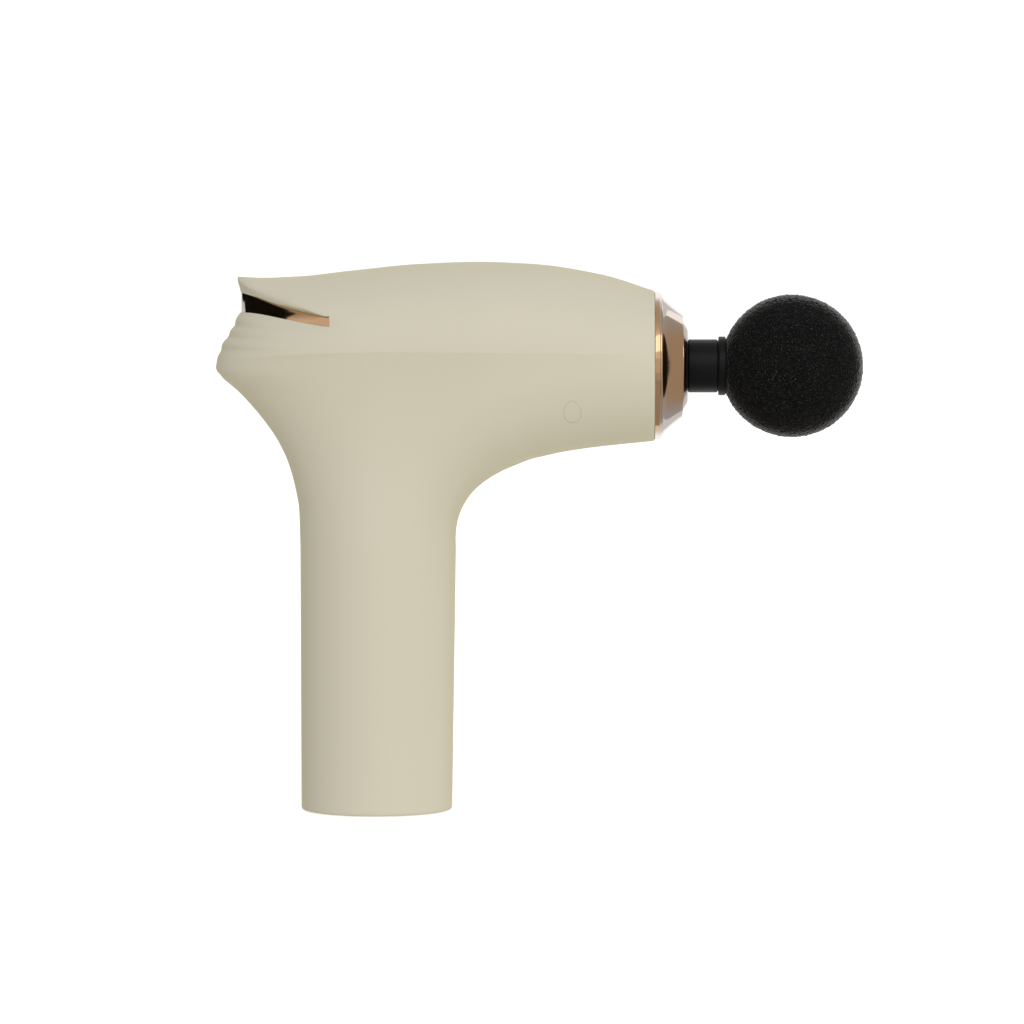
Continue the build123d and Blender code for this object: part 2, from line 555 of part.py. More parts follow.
save("base_screws", Compound([Pos(0, side * BASE_SCREW_Y, 0) * base_screw for side in (1, -1)]))
save("charge_light", rod_z(1.48, 0.2, CHARGE_BOARD_Z + 1, 12, 0))
shell = fillet(block((-4.47, 4.47), (-1.6, 1.6), (0.8, CHARGE_BOARD_Z)).edges().filter_by(Axis.Z), 1.55)
hollow = fillet(block((-4.17, 4.17), (-1.3, 1.3), (0, 7)).edges().filter_by(Axis.Z), 1.25)
tongue = block((-3.3, 3.3), (-0.35, 0.35), (1.6, 7.5))
save("usb_socket", shell - hollow + tongue)
charge_board = block((-11, 11), (-9, 9), (CHARGE_BOARD_Z, CHARGE_BOARD_Z + 1.2))
charge_board = charge_board - rod_z(1.5, 0, 20, 12, 0)
save("charge_board", charge_board)

# ---------------------------------------------------------------- controller
board_top = CONTROL_BOARD_Z + BOARD_THICKNESS
save("control_board", rod_z(20.5, CONTROL_BOARD_Z, board_top))
capacitor = fillet(rod_z(3.2, board_top, 20.4, -9, 9).edges().sort_by(Axis.Z)[-1:], 0.5)
save("capacitors", Compound([capacitor, Rot(0, 0, -90) * capacitor]))
transistor = block((-2.6, 2.6), (-3, 3), (board_top, board_top + 1.1))
save("power_transistors", Compound([Pos(-10 + 7 * k, -13, 0) * transistor for k in range(3)]))
save("control_chip", block((-3.5, 3.5), (-3.5, 3.5), (board_top, board_top + 1.0)))

# ---------------------------------------------------------------- battery pack
cell_spots = [Rot(0, 0, 120 * k) * Pos(CELL_CIRCLE, 0, 0) for k in range(3)]
cell = fillet(rod_z(CELL_RADIUS, CELL_BOTTOM_Z, CELL_TOP_Z - 0.8).edges(), 0.8)
cell = cell + rod_z(3.0, CELL_TOP_Z - 1, CELL_TOP_Z)
for number, spot in enumerate(cell_spots, 1):
    save(f"battery_cell_{number}", spot * cell)
wire_notches = joined([Rot(0, 0, 60 + 120 * k) * block((16.4, 25), (-4.2, 4.2), (0, 100)) for k in range(3)])
strip_width = 6.0
link_path = [(CELL_CIRCLE * math.cos(math.radians(120 * k)), CELL_CIRCLE * math.sin(math.radians(120 * k)))
             for k in range(3)]


def link_plate(bottom):
    strips = []
    for (x0, y0), (x1, y1) in ((link_path[0], link_path[1]), (link_path[0], link_path[2])):
        angle = math.degrees(math.atan2(y1 - y0, x1 - x0))
        bar = Box(math.hypot(x1 - x0, y1 - y0), strip_width, LINK_THICKNESS, align=MIN)
        strips.append(Pos((x0 + x1) / 2, (y0 + y1) / 2, bottom) * Rot(0, 0, angle) * bar)
    return joined(strips)


for name, cell_end, direction in (("lower", CELL_BOTTOM_Z - LINK_THICKNESS, 1), ("upper", CELL_TOP_Z, -1)):
    plate_z = cell_end if direction > 0 else cell_end + LINK_THICKNESS
    outer_face = plate_z - direction * HOLDER_FLOOR
    low, high = sorted((outer_face, outer_face + direction * HOLDER_HEIGHT))
    pocket_low, pocket_high = sorted((plate_z, plate_z + direction * HOLDER_HEIGHT))
    holder = rod_z(HOLDER_RADIUS, low, high)
    for spot in cell_spots:
        holder = holder - spot * rod_z(CELL_RADIUS + 0.15, pocket_low, pocket_high)
    holder = holder - block((-12, 16), (-13, 13), sorted((plate_z, plate_z + direction * 0.5)))
    save(f"battery_holder_{name}", holder - wire_notches)
    save(f"cell_links_{name}", link_plate(cell_end))

# ---------------------------------------------------------------- button and its switch
button = common(shell_left, button_prism(0, 12, 40))
button = button + button_prism(0, 18.6, 21.6)
button = button + rod_y(1.4, 1.6 - SWITCH_FACE_Y, 19, BUTTON_X, SWITCH_Z)
button = mirror(common(button, outer_left), Plane.XZ)
save("speed_button", button)
switch_body = block((BUTTON_X - 3, BUTTON_X + 3), (SWITCH_FACE_Y, SWITCH_BOARD_Y),
                    (SWITCH_Z - 3, SWITCH_Z + 3))
switch_body = switch_body - rod_y(1.6, SWITCH_FACE_Y - 1, SWITCH_FACE_Y + 1.5, BUTTON_X, SWITCH_Z)
save("tact_switch", switch_body)
save("switch_stem", rod_y(1.5, SWITCH_FACE_Y - 1.6, SWITCH_FACE_Y + 0.6, BUTTON_X, SWITCH_Z))
save("switch_board", block((BUTTON_X - 7.5, BUTTON_X + 7.5), (SWITCH_BOARD_Y, SWITCH_BOARD_Y + 1.2),
                           (BUTTON_Z - 6.2, BUTTON_Z + 3.2)))

# ---------------------------------------------------------------- wiring
motor_leads = []
for k in (-1, 0, 1):
    across = 2.3 * k
    route = [(CHANNEL_RADIUS, across, board_top), (CHANNEL_RADIUS, across, 98), (12.4, across, 101),
             (12.4, across, 112.5)]
    motor_leads.append(Rot(0, 0, 60) * lead(route, 0.9, 2.0))
save("motor_leads", Compound(motor_leads))
holder_top = CELL_TOP_Z + LINK_THICKNESS + HOLDER_FLOOR
save("battery_leads", Compound([
    lead([(-8, 0.9, holder_top + 0.8), (-CHANNEL_RADIUS, 0.9, holder_top + 0.8),
          (-CHANNEL_RADIUS, 0.9, board_top)], 0.7, 2.0),
    lead([(-8, -0.9, holder_top + 0.8), (-CHANNEL_RADIUS, -0.9, holder_top + 0.8),
          (-CHANNEL_RADIUS, -0.9, board_top)], 0.7, 2.0)]))
button_route = [(57.9, -11.5, 130), (40, -13, 127), (26, -12, 121.5), (24, -9, 112), (23, -8.5, 103),
                (19, -10, 96.5), (9.3, -16.1, 94), (9.3, -16.1, board_top)]
save("button_leads", lead(button_route, 0.8, 2.5))
charge_route = [(-5, 5, CHARGE_BOARD_Z + 1.2), (-5, 5, 10.8), (-2, 9, 12), (-2, 9, CONTROL_BOARD_Z)]
save("charge_leads", lead(charge_route, 0.7, 0.8))
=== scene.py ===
import math
import random

import bmesh
import bpy
import numpy as np
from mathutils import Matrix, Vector


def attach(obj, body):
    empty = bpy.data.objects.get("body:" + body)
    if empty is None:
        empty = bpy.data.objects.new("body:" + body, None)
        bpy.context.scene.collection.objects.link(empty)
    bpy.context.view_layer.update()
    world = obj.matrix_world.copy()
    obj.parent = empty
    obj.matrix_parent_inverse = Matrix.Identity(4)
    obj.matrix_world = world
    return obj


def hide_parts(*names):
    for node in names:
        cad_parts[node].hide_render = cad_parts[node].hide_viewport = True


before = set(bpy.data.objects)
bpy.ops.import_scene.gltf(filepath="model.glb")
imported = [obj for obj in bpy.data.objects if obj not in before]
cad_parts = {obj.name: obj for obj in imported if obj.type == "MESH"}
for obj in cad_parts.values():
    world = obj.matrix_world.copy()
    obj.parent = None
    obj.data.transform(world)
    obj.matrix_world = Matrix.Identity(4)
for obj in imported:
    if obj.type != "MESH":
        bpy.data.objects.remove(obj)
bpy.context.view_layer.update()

# Sizes in this script are millimetres, as in the CAD, and are turned into metres where a mesh is made.
# The camera's distance, the lights and the cards are in metres.
MM = 0.001
HEAD_Z = 148.0
FRONT_X = 92.7
FRONT_RADIUS = 24.95
GRIP_RADIUS = 25.2
GRIP_TOP_Z = 88.0
GRIP_FRONT_FLARE = 1.3
GRIP_BACK_FLARE = 0.2
THROAT_X = 57.2
CREASE_HALF_WIDTH = 30.2
CREASE_START_Z = 96.0
CIRCLE_START_X = 45.0
SHELL_THICKNESS = 1.9
# (x, z) of the housing screws, which go in from the left side
HOUSING_SCREWS = ((34, 118), (80, 128.2), (-38, 147), (-22, 171.3), (60, 171), (-10, 98.4))


def linked(name, data):
    """New object of the scene that carries a mesh, a light or a camera."""
    item = bpy.data.objects.new(name, data)
    bpy.context.scene.collection.objects.link(item)
    return item


# ------------------------------------------------------------------ camera
CAMERA_TARGET = (45.2, 0, 99.3)
CAMERA_AZIMUTH = math.radians(1.4)
CAMERA_ELEVATION = math.radians(2.6)
CAMERA_DISTANCE = 1.517
CAMERA_LENS = 160
SENSOR_WIDTH = 36
NEAREST_SEEN = 0.05


def make_camera():
    """Long lens, nearly level and nearly square to the right side."""
    back = Vector((math.sin(CAMERA_AZIMUTH) * math.cos(CAMERA_ELEVATION),
                   -math.cos(CAMERA_AZIMUTH) * math.cos(CAMERA_ELEVATION), math.sin(CAMERA_ELEVATION)))
    data = bpy.data.cameras.new("camera")
    data.lens = CAMERA_LENS
    data.sensor_width = SENSOR_WIDTH
    data.clip_start = NEAREST_SEEN
    camera = linked("camera", data)
    camera.location = Vector(CAMERA_TARGET) * MM + back * CAMERA_DISTANCE
    camera.rotation_mode = "QUATERNION"
    camera.rotation_quaternion = (-back).to_track_quat("-Z", "Y")
    bpy.context.scene.camera = camera


make_camera()


# ------------------------------------------------------------------ materials
class Nodes:
    """A material's node tree with short calls for the nodes used here."""

    def __init__(self, name):
        self.material = bpy.data.materials.new(name)
        self.material.use_nodes = True
        self.tree = self.material.node_tree
        self.shader = self.tree.nodes["Principled BSDF"]
        self.position = self.tree.nodes.new("ShaderNodeTexCoord").outputs["Object"]

    def link(self, source, target):
        self.tree.links.new(source, target)

    def noise(self, scale, detail=3.0, rough=0.5, vector=None):
        node = self.tree.nodes.new("ShaderNodeTexNoise")
        node.inputs["Scale"].default_value = scale
        node.inputs["Detail"].default_value = detail
        node.inputs["Roughness"].default_value = rough
        self.link(vector or self.position, node.inputs["Vector"])
        return node.outputs["Fac"]

    def cell_edges(self, scale):
        """Distance to the nearest border of a pattern of cells."""
        node = self.tree.nodes.new("ShaderNodeTexVoronoi")
        node.feature = "DISTANCE_TO_EDGE"
        node.inputs["Scale"].default_value = scale
        self.link(self.position, node.inputs["Vector"])
        return node.outputs["Distance"]

    def stretched(self, scale):
        """Position with its axes scaled, for grain that runs one way."""
        node = self.tree.nodes.new("ShaderNodeMapping")
        node.inputs["Scale"].default_value = scale
        self.link(self.position, node.inputs["Vector"])
        return node.outputs["Vector"]

    def ramp(self, source, stops):
        node = self.tree.nodes.new("ShaderNodeValToRGB")
        ramp = node.color_ramp
        ramp.elements[0].position, ramp.elements[0].color = stops[0][0], (*stops[0][1], 1)
        ramp.elements[1].position, ramp.elements[1].color = stops[-1][0], (*stops[-1][1], 1)
        for place, colour in stops[1:-1]:
            ramp.elements.new(place).color = (*colour, 1)
        self.link(source, node.inputs["Fac"])
        return node.outputs["Color"]

    def drift(self, source, colour, low, high):
        """Colour that wanders between a darker and a lighter shade of itself."""
        return self.ramp(source, [(0.3, shade(colour, low)), (0.7, shade(colour, high))])

    def facing(self, start, end):
        """0 where the surface faces the viewer, rising to 1 towards a grazing view."""
        layer = self.tree.nodes.new("ShaderNodeLayerWeight")
        layer.inputs["Blend"].default_value = 0.5
        node = self.tree.nodes.new("ShaderNodeMapRange")
        node.interpolation_type = "SMOOTHSTEP"
        node.inputs["From Min"].default_value = start
        node.inputs["From Max"].default_value = end
        self.link(layer.outputs["Facing"], node.inputs["Value"])
        return node.outputs["Result"]

    def mixed(self, factor, first, second):
        """Blend of a colour output and a fixed colour."""
        node = self.tree.nodes.new("ShaderNodeMix")
        node.data_type = "RGBA"
        colours = [socket for socket in node.inputs if socket.type == "RGBA"]
        self.link(factor, node.inputs["Factor"])
        self.link(first, colours[0])
        colours[1].default_value = (*second, 1)
        return next(socket for socket in node.outputs if socket.type == "RGBA")

    def span(self, source, low, high):
        """Value from 0 to 1 spread over the range from `low` to `high`."""
        node = self.tree.nodes.new("ShaderNodeMapRange")
        node.inputs["To Min"].default_value = low
        node.inputs["To Max"].default_value = high
        self.link(source, node.inputs["Value"])
        return node.outputs["Result"]

    def colour(self, source):
        self.link(source, self.shader.inputs["Base Color"])

    def roughness(self, source):
        self.link(source, self.shader.inputs["Roughness"])

    def bump(self, source, strength, distance, below=None):
        node = self.tree.nodes.new("ShaderNodeBump")
        node.inputs["Strength"].default_value = strength
        node.inputs["Distance"].default_value = distance
        self.link(source, node.inputs["Height"])
        if below:
            self.link(below, node.inputs["Normal"])
        self.link(node.outputs["Normal"], self.shader.inputs["Normal"])
        return node.outputs["Normal"]

    def value(self, **settings):
        """Sets inputs of the shader, named with underscores for spaces."""
        for name, setting in settings.items():
            self.shader.inputs[name.replace("_", " ")].default_value = setting


def shade(colour, factor):
    return tuple(min(1.0, c * factor) for c in colour)


def plastic(name, colour, rough, grain=900):
    """Moulded plastic: slow colour drift, fine moulded grain, slightly uneven gloss."""
    n = Nodes(name)
    n.colour(n.drift(n.noise(14, 4), colour, 0.97, 1.03))
    n.roughness(n.span(n.noise(60, 5, 0.6), rough - 0.06, rough + 0.06))
    n.bump(n.noise(grain, 2), 0.35, 0.00002)
    return n.material


def metal(name, colour, rough, brush=(40, 1600, 1600), variation=0.06, depth=0.000004):
    """Metal with a fine brushed or turned grain and faint handling marks."""
    n = Nodes(name)
    grain = n.noise(1, 3, 0.6, n.stretched(brush))
    n.colour(n.drift(n.noise(50, 4), colour, 1 - variation, 1 + variation))
    n.roughness(n.span(grain, rough * 0.75, rough * 1.25))
    n.bump(grain, 0.25, depth)
    n.value(Metallic=1.0)
    return n.material


def rubber(name, colour):
    """Dull rubber with a powdery bloom."""
    n = Nodes(name)
    n.colour(n.drift(n.noise(220, 5), colour, 0.8, 1.3))
    n.roughness(n.span(n.noise(90, 4), 0.55, 0.8))
    n.bump(n.noise(1500, 3), 0.4, 0.00003)
    return n.material


def wire(name, colour):
    """Soft insulation of a lead."""
    n = Nodes(name)
    n.colour(n.ramp(n.noise(120, 3), [(0.35, shade(colour, 0.85)), (0.65, shade(colour, 1.15))]))
    n.roughness(n.span(n.noise(300, 3), 0.35, 0.55))
    n.bump(n.noise(900, 2), 0.3, 0.00002)
    return n.material


TRACK_GREEN = (0.03, 0.22, 0.09)
BOARD_GREEN = (0.01, 0.09, 0.035)
WIRE_DARK = (0.30, 0.10, 0.03)
WIRE_LIGHT = (0.75, 0.32, 0.12)


def board(name):
    """Solder-masked circuit board with copper tracks showing as slightly lighter lines."""
    n = Nodes(name)
    tracks = n.cell_edges(420)
    n.colour(n.ramp(tracks, [(0.0, TRACK_GREEN), (0.12, TRACK_GREEN), (0.2, BOARD_GREEN)]))
    n.roughness(n.span(n.noise(200, 3), 0.25, 0.4))
    n.bump(tracks, 0.3, 0.00003)
    return n.material


def windings(name):
    """Enamelled copper wire wound in fine strands."""
    n = Nodes(name)
    strands = n.noise(1, 2, 0.5, n.stretched((60, 60, 5200)))
    n.colour(n.ramp(strands, [(0.3, WIRE_DARK), (0.7, WIRE_LIGHT)]))
    n.roughness(n.span(strands, 0.25, 0.45))
    n.bump(strands, 0.7, 0.0002)
    n.value(Metallic=0.9)
    return n.material


CREAM = (0.706, 0.668, 0.541)
# colour of the painted shade on the cream shell's edges, seen at a grazing angle
CREAM_PAINTED_EDGE_SHADE = (0.66, 0.607, 0.400)
ROSE = (0.86, 0.53, 0.30)
# colour of the painted sheen on the rose gold, seen at a grazing angle
ROSE_PAINTED_GRAZING_SHEEN = (0.84, 0.76, 0.71)
FOAM_PORE = (0.0020, 0.0019, 0.0019)
FOAM_BODY = (0.005, 0.005, 0.0049)
FOAM_STRAND = (0.035, 0.035, 0.034)
FOAM_FLECK = (0.19, 0.19, 0.185)
# colour of the painted rim light on the foam ball, seen at a grazing angle
FOAM_PAINTED_RIM_LIGHT = (0.20, 0.20, 0.195)


def cream_material():
    """Satin cream shell: very fine spark-eroded grain, faint flow marks, and painted shade that deepens the
    colour towards the edges as they turn from view.
    """
    n = Nodes("cream_shell")
    drift = n.ramp(n.noise(9, 5, 0.55), [(0.25, shade(CREAM, 0.985)), (0.75, shade(CREAM, 1.015))])
    # painted shade: the colour deepens and turns more olive towards edges seen at a grazing angle
    n.colour(n.mixed(n.facing(0.35, 1.0), drift, CREAM_PAINTED_EDGE_SHADE))
    n.roughness(n.span(n.noise(70, 5, 0.6), 0.42, 0.52))
    flow = n.bump(n.noise(26, 3), 0.05, 0.0002)
    n.bump(n.noise(1900, 2), 0.22, 0.000012, flow)
    n.value(IOR=1.46, Specular_IOR_Level=0.28)
    return n.material


def rose_material():
    """Lacquered rose-gold plating: mirror smooth, faint polishing lines, and a painted sheen that turns it
    paler towards grazing view.
    """
    n = Nodes("rose_gold")
    lines = n.noise(1, 4, 0.6, n.stretched((2600, 90, 90)))
    drift = n.drift(n.noise(35, 4), ROSE, 0.97, 1.03)
    # painted sheen: the colour turns paler towards a grazing view
    n.colour(n.mixed(n.facing(0.30, 0.66), drift, ROSE_PAINTED_GRAZING_SHEEN))
    n.roughness(n.span(lines, 0.05, 0.11))
    n.bump(lines, 0.05, 0.000003)
    n.value(Metallic=1.0)
    return n.material


def foam_material():
    """Fine open-cell black foam: dark pores, sparse light flecks and a painted rim light that makes the
    outline softly lighter.
    """
    n = Nodes("foam")
    grains = n.noise(3100, 2, 0.75)
    flecks = n.ramp(grains, [(0.44, FOAM_PORE), (0.56, FOAM_BODY), (0.65, FOAM_STRAND), (0.75, FOAM_FLECK)])
    # painted rim light: the foam turns lighter towards its outline
    n.colour(n.mixed(n.facing(0.55, 0.92), flecks, FOAM_PAINTED_RIM_LIGHT))
    n.roughness(n.span(grains, 0.8, 0.98))
    n.bump(grains, 0.5, 0.00015)
    n.value(Sheen_Weight=0.10, Sheen_Roughness=0.3, Specular_IOR_Level=0.10)
    return n.material


def black_material(name, rough, colour):
    """Hard black part with a soft sheen."""
    n = Nodes(name)
    n.value(Specular_IOR_Level=0.22)
    n.colour(n.drift(n.noise(30, 4), colour, 0.85, 1.2))
    n.roughness(n.span(n.noise(120, 4), rough - 0.05, rough + 0.08))
    n.bump(n.noise(1700, 2), 0.3, 0.000015)
    return n.material


cream = cream_material()
rose = rose_material()
foam = foam_material()
stem_black = black_material("stem_black", 0.42, (0.004, 0.004, 0.0041))
bezel_dark = black_material("anodised_black", 0.3, (0.02, 0.02, 0.021))
steel = metal("plated_steel", (0.52, 0.52, 0.53), 0.28)
ground_steel = metal("ground_steel", (0.62, 0.62, 0.63), 0.14)
cast = metal("cast_aluminium", (0.55, 0.56, 0.57), 0.42, (300, 300, 300), 0.1, 0.00003)
turned = metal("turned_aluminium", (0.66, 0.67, 0.68), 0.25)
bronze = metal("sintered_bronze", (0.55, 0.36, 0.17), 0.45, (500, 500, 500), 0.12, 0.00002)
soft_rubber = rubber("soft_rubber", (0.02, 0.02, 0.02))
moulded_black = plastic("moulded_black", (0.02, 0.02, 0.021), 0.45)
sleeve_blue = plastic("cell_sleeve", (0.03, 0.13, 0.30), 0.3, grain=500)
pale_plastic = plastic("pale_plastic", (0.45, 0.45, 0.44), 0.45)
light_pipe = plastic("light_pipe", (0.75, 0.85, 0.78), 0.2, grain=400)
circuit = board("circuit_board")
copper = windings("copper_windings")
red_wire = wire("red_wire", (0.35, 0.015, 0.012))
black_wire = wire("black_wire", (0.015, 0.015, 0.015))

# materials of the CAD nodes that are shown as they are
carried_over = {
    "housing_screws": steel, "base_screws": steel, "drive_frame": cast,
    "guide_sleeve": turned, "front_bush": bronze, "rear_bush": bronze, "small_end_bush": bronze,
    "front_damper": soft_rubber, "rear_damper": soft_rubber, "dust_seal": soft_rubber,
    "stem_o_rings": soft_rubber, "motor_base": turned, "motor_screws": steel, "stator_core": steel,
    "stator_windings": copper, "motor_bearing_outer_races": ground_steel,
    "motor_bearing_inner_races": ground_steel, "motor_bearing_balls": ground_steel,
    "rotor_bell": steel, "rotor_magnets": steel, "motor_shaft": ground_steel, "crank_disc": steel,
    "crank_pin": ground_steel, "big_end_bearing": ground_steel, "connecting_rod": turned,
    "wrist_pin": ground_steel, "plunger": bezel_dark, "ball_core": moulded_black,
    "base_cap": cream, "charge_light": light_pipe, "usb_socket": steel, "charge_board": circuit,
    "control_board": circuit, "capacitors": turned, "power_transistors": moulded_black,
    "control_chip": moulded_black, "battery_cell_1": sleeve_blue, "battery_cell_2": sleeve_blue,
    "battery_cell_3": sleeve_blue, "battery_holder_lower": moulded_black,
    "battery_holder_upper": moulded_black, "cell_links_lower": steel, "cell_links_upper": steel,
    "tact_switch": moulded_black, "switch_stem": pale_plastic, "switch_board": circuit,
    "motor_leads": red_wire, "battery_leads": red_wire, "button_leads": black_wire,
    "charge_leads": red_wire,
}
for node, material in carried_over.items():
    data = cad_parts[node].data
    data.materials.clear()
    data.materials.append(material)


# ------------------------------------------------------------------ mesh helpers
SHARP_ANGLE = 40
MERGE_DISTANCE = 0.000002
CORNER_STEPS = 5
CORNER_SHARE = 0.49
TURNED_SEGMENTS = 160


def mesh_object(name, points, faces, merge=False):
    """Object from points in mm, with its faces turned outwards."""
    mesh = bpy.data.meshes.new(name)
    mesh.from_pydata([tuple(MM * c for c in p) for p in points], [], faces)
    work = bmesh.new()
    work.from_mesh(mesh)
    if merge:
        bmesh.ops.remove_doubles(work, verts=work.verts, dist=MERGE_DISTANCE)
    bmesh.ops.recalc_face_normals(work, faces=work.faces)
    work.to_mesh(mesh)
    work.free()
    return linked(name, mesh)


def smoothed(piece, angle):
    """Smooth shading that keeps the edges sharper than an angle in degrees."""
    piece.data.shade_smooth()
    piece.data.set_sharp_from_angle(angle=math.radians(angle))


def make_piece(name, points, faces, material, body, replaced=(), sharp_angle=SHARP_ANGLE):
    """Mesh piece from points in mm: smooth shaded, riding a body and standing for CAD nodes."""
    piece = mesh_object(name, points, faces, merge=True)
    piece.data.materials.append(material)
    smoothed(piece, sharp_angle)
    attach(piece, body)
    if replaced:
        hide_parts(*replaced)
    return piece


def grid_faces(rows, columns):
    """Quads of a grid of points, listed row by row."""
    return [(r * columns + c, r * columns + c + 1, (r + 1) * columns + c + 1, (r + 1) * columns + c)
            for r in range(rows - 1) for c in range(columns - 1)]


def ring_faces(segments, size):
    """Quads of a closed outline of `size` points that is carried round in `segments` steps."""
    faces = []
    for k in range(segments):
        for c in range(size):
            d, e = (c + 1) % size, (k + 1) % segments
            faces.append((k * size + c, k * size + d, e * size + d, e * size + c))
    return faces


def circle(x, z, radius, count):
    """Points round a circle in the middle plane."""
    angles = [2 * math.pi * k / count for k in range(count)]
    return [(x + radius * math.cos(angle), z + radius * math.sin(angle)) for angle in angles]


def rounded(corners):
    """Closed outline from (x, y, radius) corners, each corner rounded to its radius."""
    outline = []
    count = len(corners)
    for k, (x, y, radius) in enumerate(corners):
        here = Vector((x, y))
        before = Vector(corners[k - 1][:2]) - here
        after = Vector(corners[(k + 1) % count][:2]) - here
        if radius <= 0:
            outline.append((x, y))
            continue
        half = before.angle(after) / 2
        reach = min(radius / math.tan(half), before.length * CORNER_SHARE, after.length * CORNER_SHARE)
        start, end = here + before.normalized() * reach, here + after.normalized() * reach
        for s in range(CORNER_STEPS + 1):
            t = s / CORNER_STEPS
            bend = start * (1 - t) ** 2 + here * 2 * t * (1 - t) + end * t ** 2
            outline.append((bend.x, bend.y))
    return outline


def turned_piece(name, corners, material, body, replaced=()):
    """Closed ring turned about the stroke axis from (x, radius, corner rounding) points."""
    outline = rounded(corners)
    points = []
    for k in range(TURNED_SEGMENTS):
        angle = 2 * math.pi * k / TURNED_SEGMENTS
        points += [(x, r * math.sin(angle), HEAD_Z + r * math.cos(angle)) for x, r in outline]
    faces = ring_faces(TURNED_SEGMENTS, len(outline))
    make_piece(name, points, faces, material, body, replaced)


# ------------------------------------------------------------------ housing surface
def curve_through(points):
    """Smooth curve through a few points that never overshoots between them."""
    xs = [p[0] for p in points]
    ys = [p[1] for p in points]
    last = len(xs) - 1
    width = [xs[i + 1] - xs[i] for i in range(last)]
    slope = [(ys[i + 1] - ys[i]) / width[i] for i in range(last)]
    tangent = [slope[0]] + [0.0] * (last - 1) + [slope[-1]]
    for i in range(1, last):
        if slope[i - 1] * slope[i] > 0:
            first = 2 * width[i] + width[i - 1]
            second = width[i] + 2 * width[i - 1]
            tangent[i] = (first + second) / (first / slope[i - 1] + second / slope[i])

    def value(x):
        if x <= xs[0]:
            return ys[0]
        if x >= xs[-1]:
            return ys[-1]
        i = max(k for k in range(last) if xs[k] <= x)
        t = (x - xs[i]) / width[i]
        start = ys[i] * (1 + 2 * t) * (1 - t) ** 2 + tangent[i] * width[i] * t * (1 - t) ** 2
        return start + ys[i + 1] * t * t * (3 - 2 * t) + tangent[i + 1] * width[i] * t * t * (t - 1)

    return value


def ease(t):
    """Smooth rise from 0 to 1, level at both ends."""
    t = min(max(t, 0.0), 1.0)
    return t * t * (3 - 2 * t)


# side view: height of the top edge, the side crease and the barrel's underside along X
top_line = curve_through([(-46.2, 177.7), (-38, 177.3), (-25.5, 177.8), (-8, 179.7), (14.5, 181.9),
                          (34, 182.6), (52, 181.9), (74.5, 178.5), (92.7, 172.9)])
crease_line = curve_through([(-53.5, 147.0), (-48.8, 149.2), (-38.8, 150.8), (-28.8, 151.8),
                             (-12, 152.5), (10, 152.8), (45, 152.5), (92.7, 151.8)])
under_line = curve_through([(57.2, 118.3), (62.5, 119.42), (73, 120.97), (92.7, 123.05)])
# hollow of the throat between grip and barrel: radius by angle about its centre
throat_radius = curve_through([(90, 30.3), (94, 29.87), (100.5, 29.5), (112, 29.0), (122, 29.3),
                               (131, 29.85), (141, 30.6), (150, 31.1), (160, 31.3), (180, 30.7)])
# half width at the side crease along X, narrowing to the round front rim
crease_width = curve_through([(35, CREASE_HALF_WIDTH), (56, 28.3), (71, 27.3), (81, 26.5),
                              (FRONT_X, FRONT_RADIUS)])
# back edge by height: grip back and tail are smooth, then three scalloped ribs, trim and wing
back_line = curve_through([(88, -25.4), (100, -25.8), (108, -27.2), (116, -29.5), (123, -32.8),
                           (131, -38.4), (139, -45.5), (146, -53.0), (147.2, -53.5), (149, -53.3),
                           (151, -52.9), (152.4, -52.2), (153.2, -51.75), (154.6, -51.55), (156.2, -50.8),
                           (157.4, -49.6), (158.2, -49.15), (159.6, -48.7), (160.8, -47.8), (161.7, -47.1),
                           (162.8, -46.95), (164.2, -46.4), (165.2, -45.7), (166, -45.1), (172, -45.1),
                           (174, -45.5), (176, -46.1), (177.7, -46.2)])
# X of the widest line by height, from which the back rounds off
middle_line = curve_through([(90, 0.5), (122, 2.5), (180, 2.5)])
# wing: a ridge that starts at the wing tip and sinks into the side further forward
ridge_line = curve_through([(-46.2, 176.6), (-38.8, 173.0), (-32, 170.6), (-25.5, 168.6), (-18.8, 166.9),
                            (-8, 165.0)])


def grip_front(z):
    return GRIP_RADIUS + GRIP_FRONT_FLARE * z / GRIP_TOP_Z


def grip_back(z):
    return -GRIP_RADIUS - GRIP_BACK_FLARE * z / GRIP_TOP_Z


def fan_angle(x, z):
    """Angle in degrees of a point about the centre of the throat."""
    return math.degrees(math.atan2(z - GRIP_TOP_Z, x - THROAT_X))


def depth_from_underside(x, z):
    """Distance inside the grip's front edge, the throat or the barrel's underside."""
    if z < GRIP_TOP_Z:
        return grip_front(z) - x
    if x > THROAT_X:
        return z - under_line(x)
    return math.hypot(x - THROAT_X, z - GRIP_TOP_Z) - throat_radius(fan_angle(x, z))


# Relief of the tail end. Each part of it fades in towards the back from a start X over a length.
WING_FADE = (-6, 22)
RIDGE_HEIGHT = 2.5
RIDGE_REACH_ABOVE = 5.0
RIDGE_REACH_BELOW = 1.7
HOLLOW_DEPTH = 1.15
HOLLOW_DROP = 5.0
HOLLOW_REACH = 3.2
RIB_FADE = (-26, 18)
RIB_HEIGHT = 0.6
RIB_START_X = -48
RIB_SLOPE = 0.05
RIB_BOTTOM_Z = 153.8
RIB_PITCH = 3.75
RIB_TOP_Z = RIB_BOTTOM_Z + 3 * RIB_PITCH
TUCK_FADE = (-2, 30)
TUCK_DEPTH = 0.65
TUCK_START = 2.5
TUCK_REACH = 12
RELIEF_BOTTOM_Z = 115
RELIEF_RIM = 5


def fade(x, start, length):
    return ease((start - x) / length)


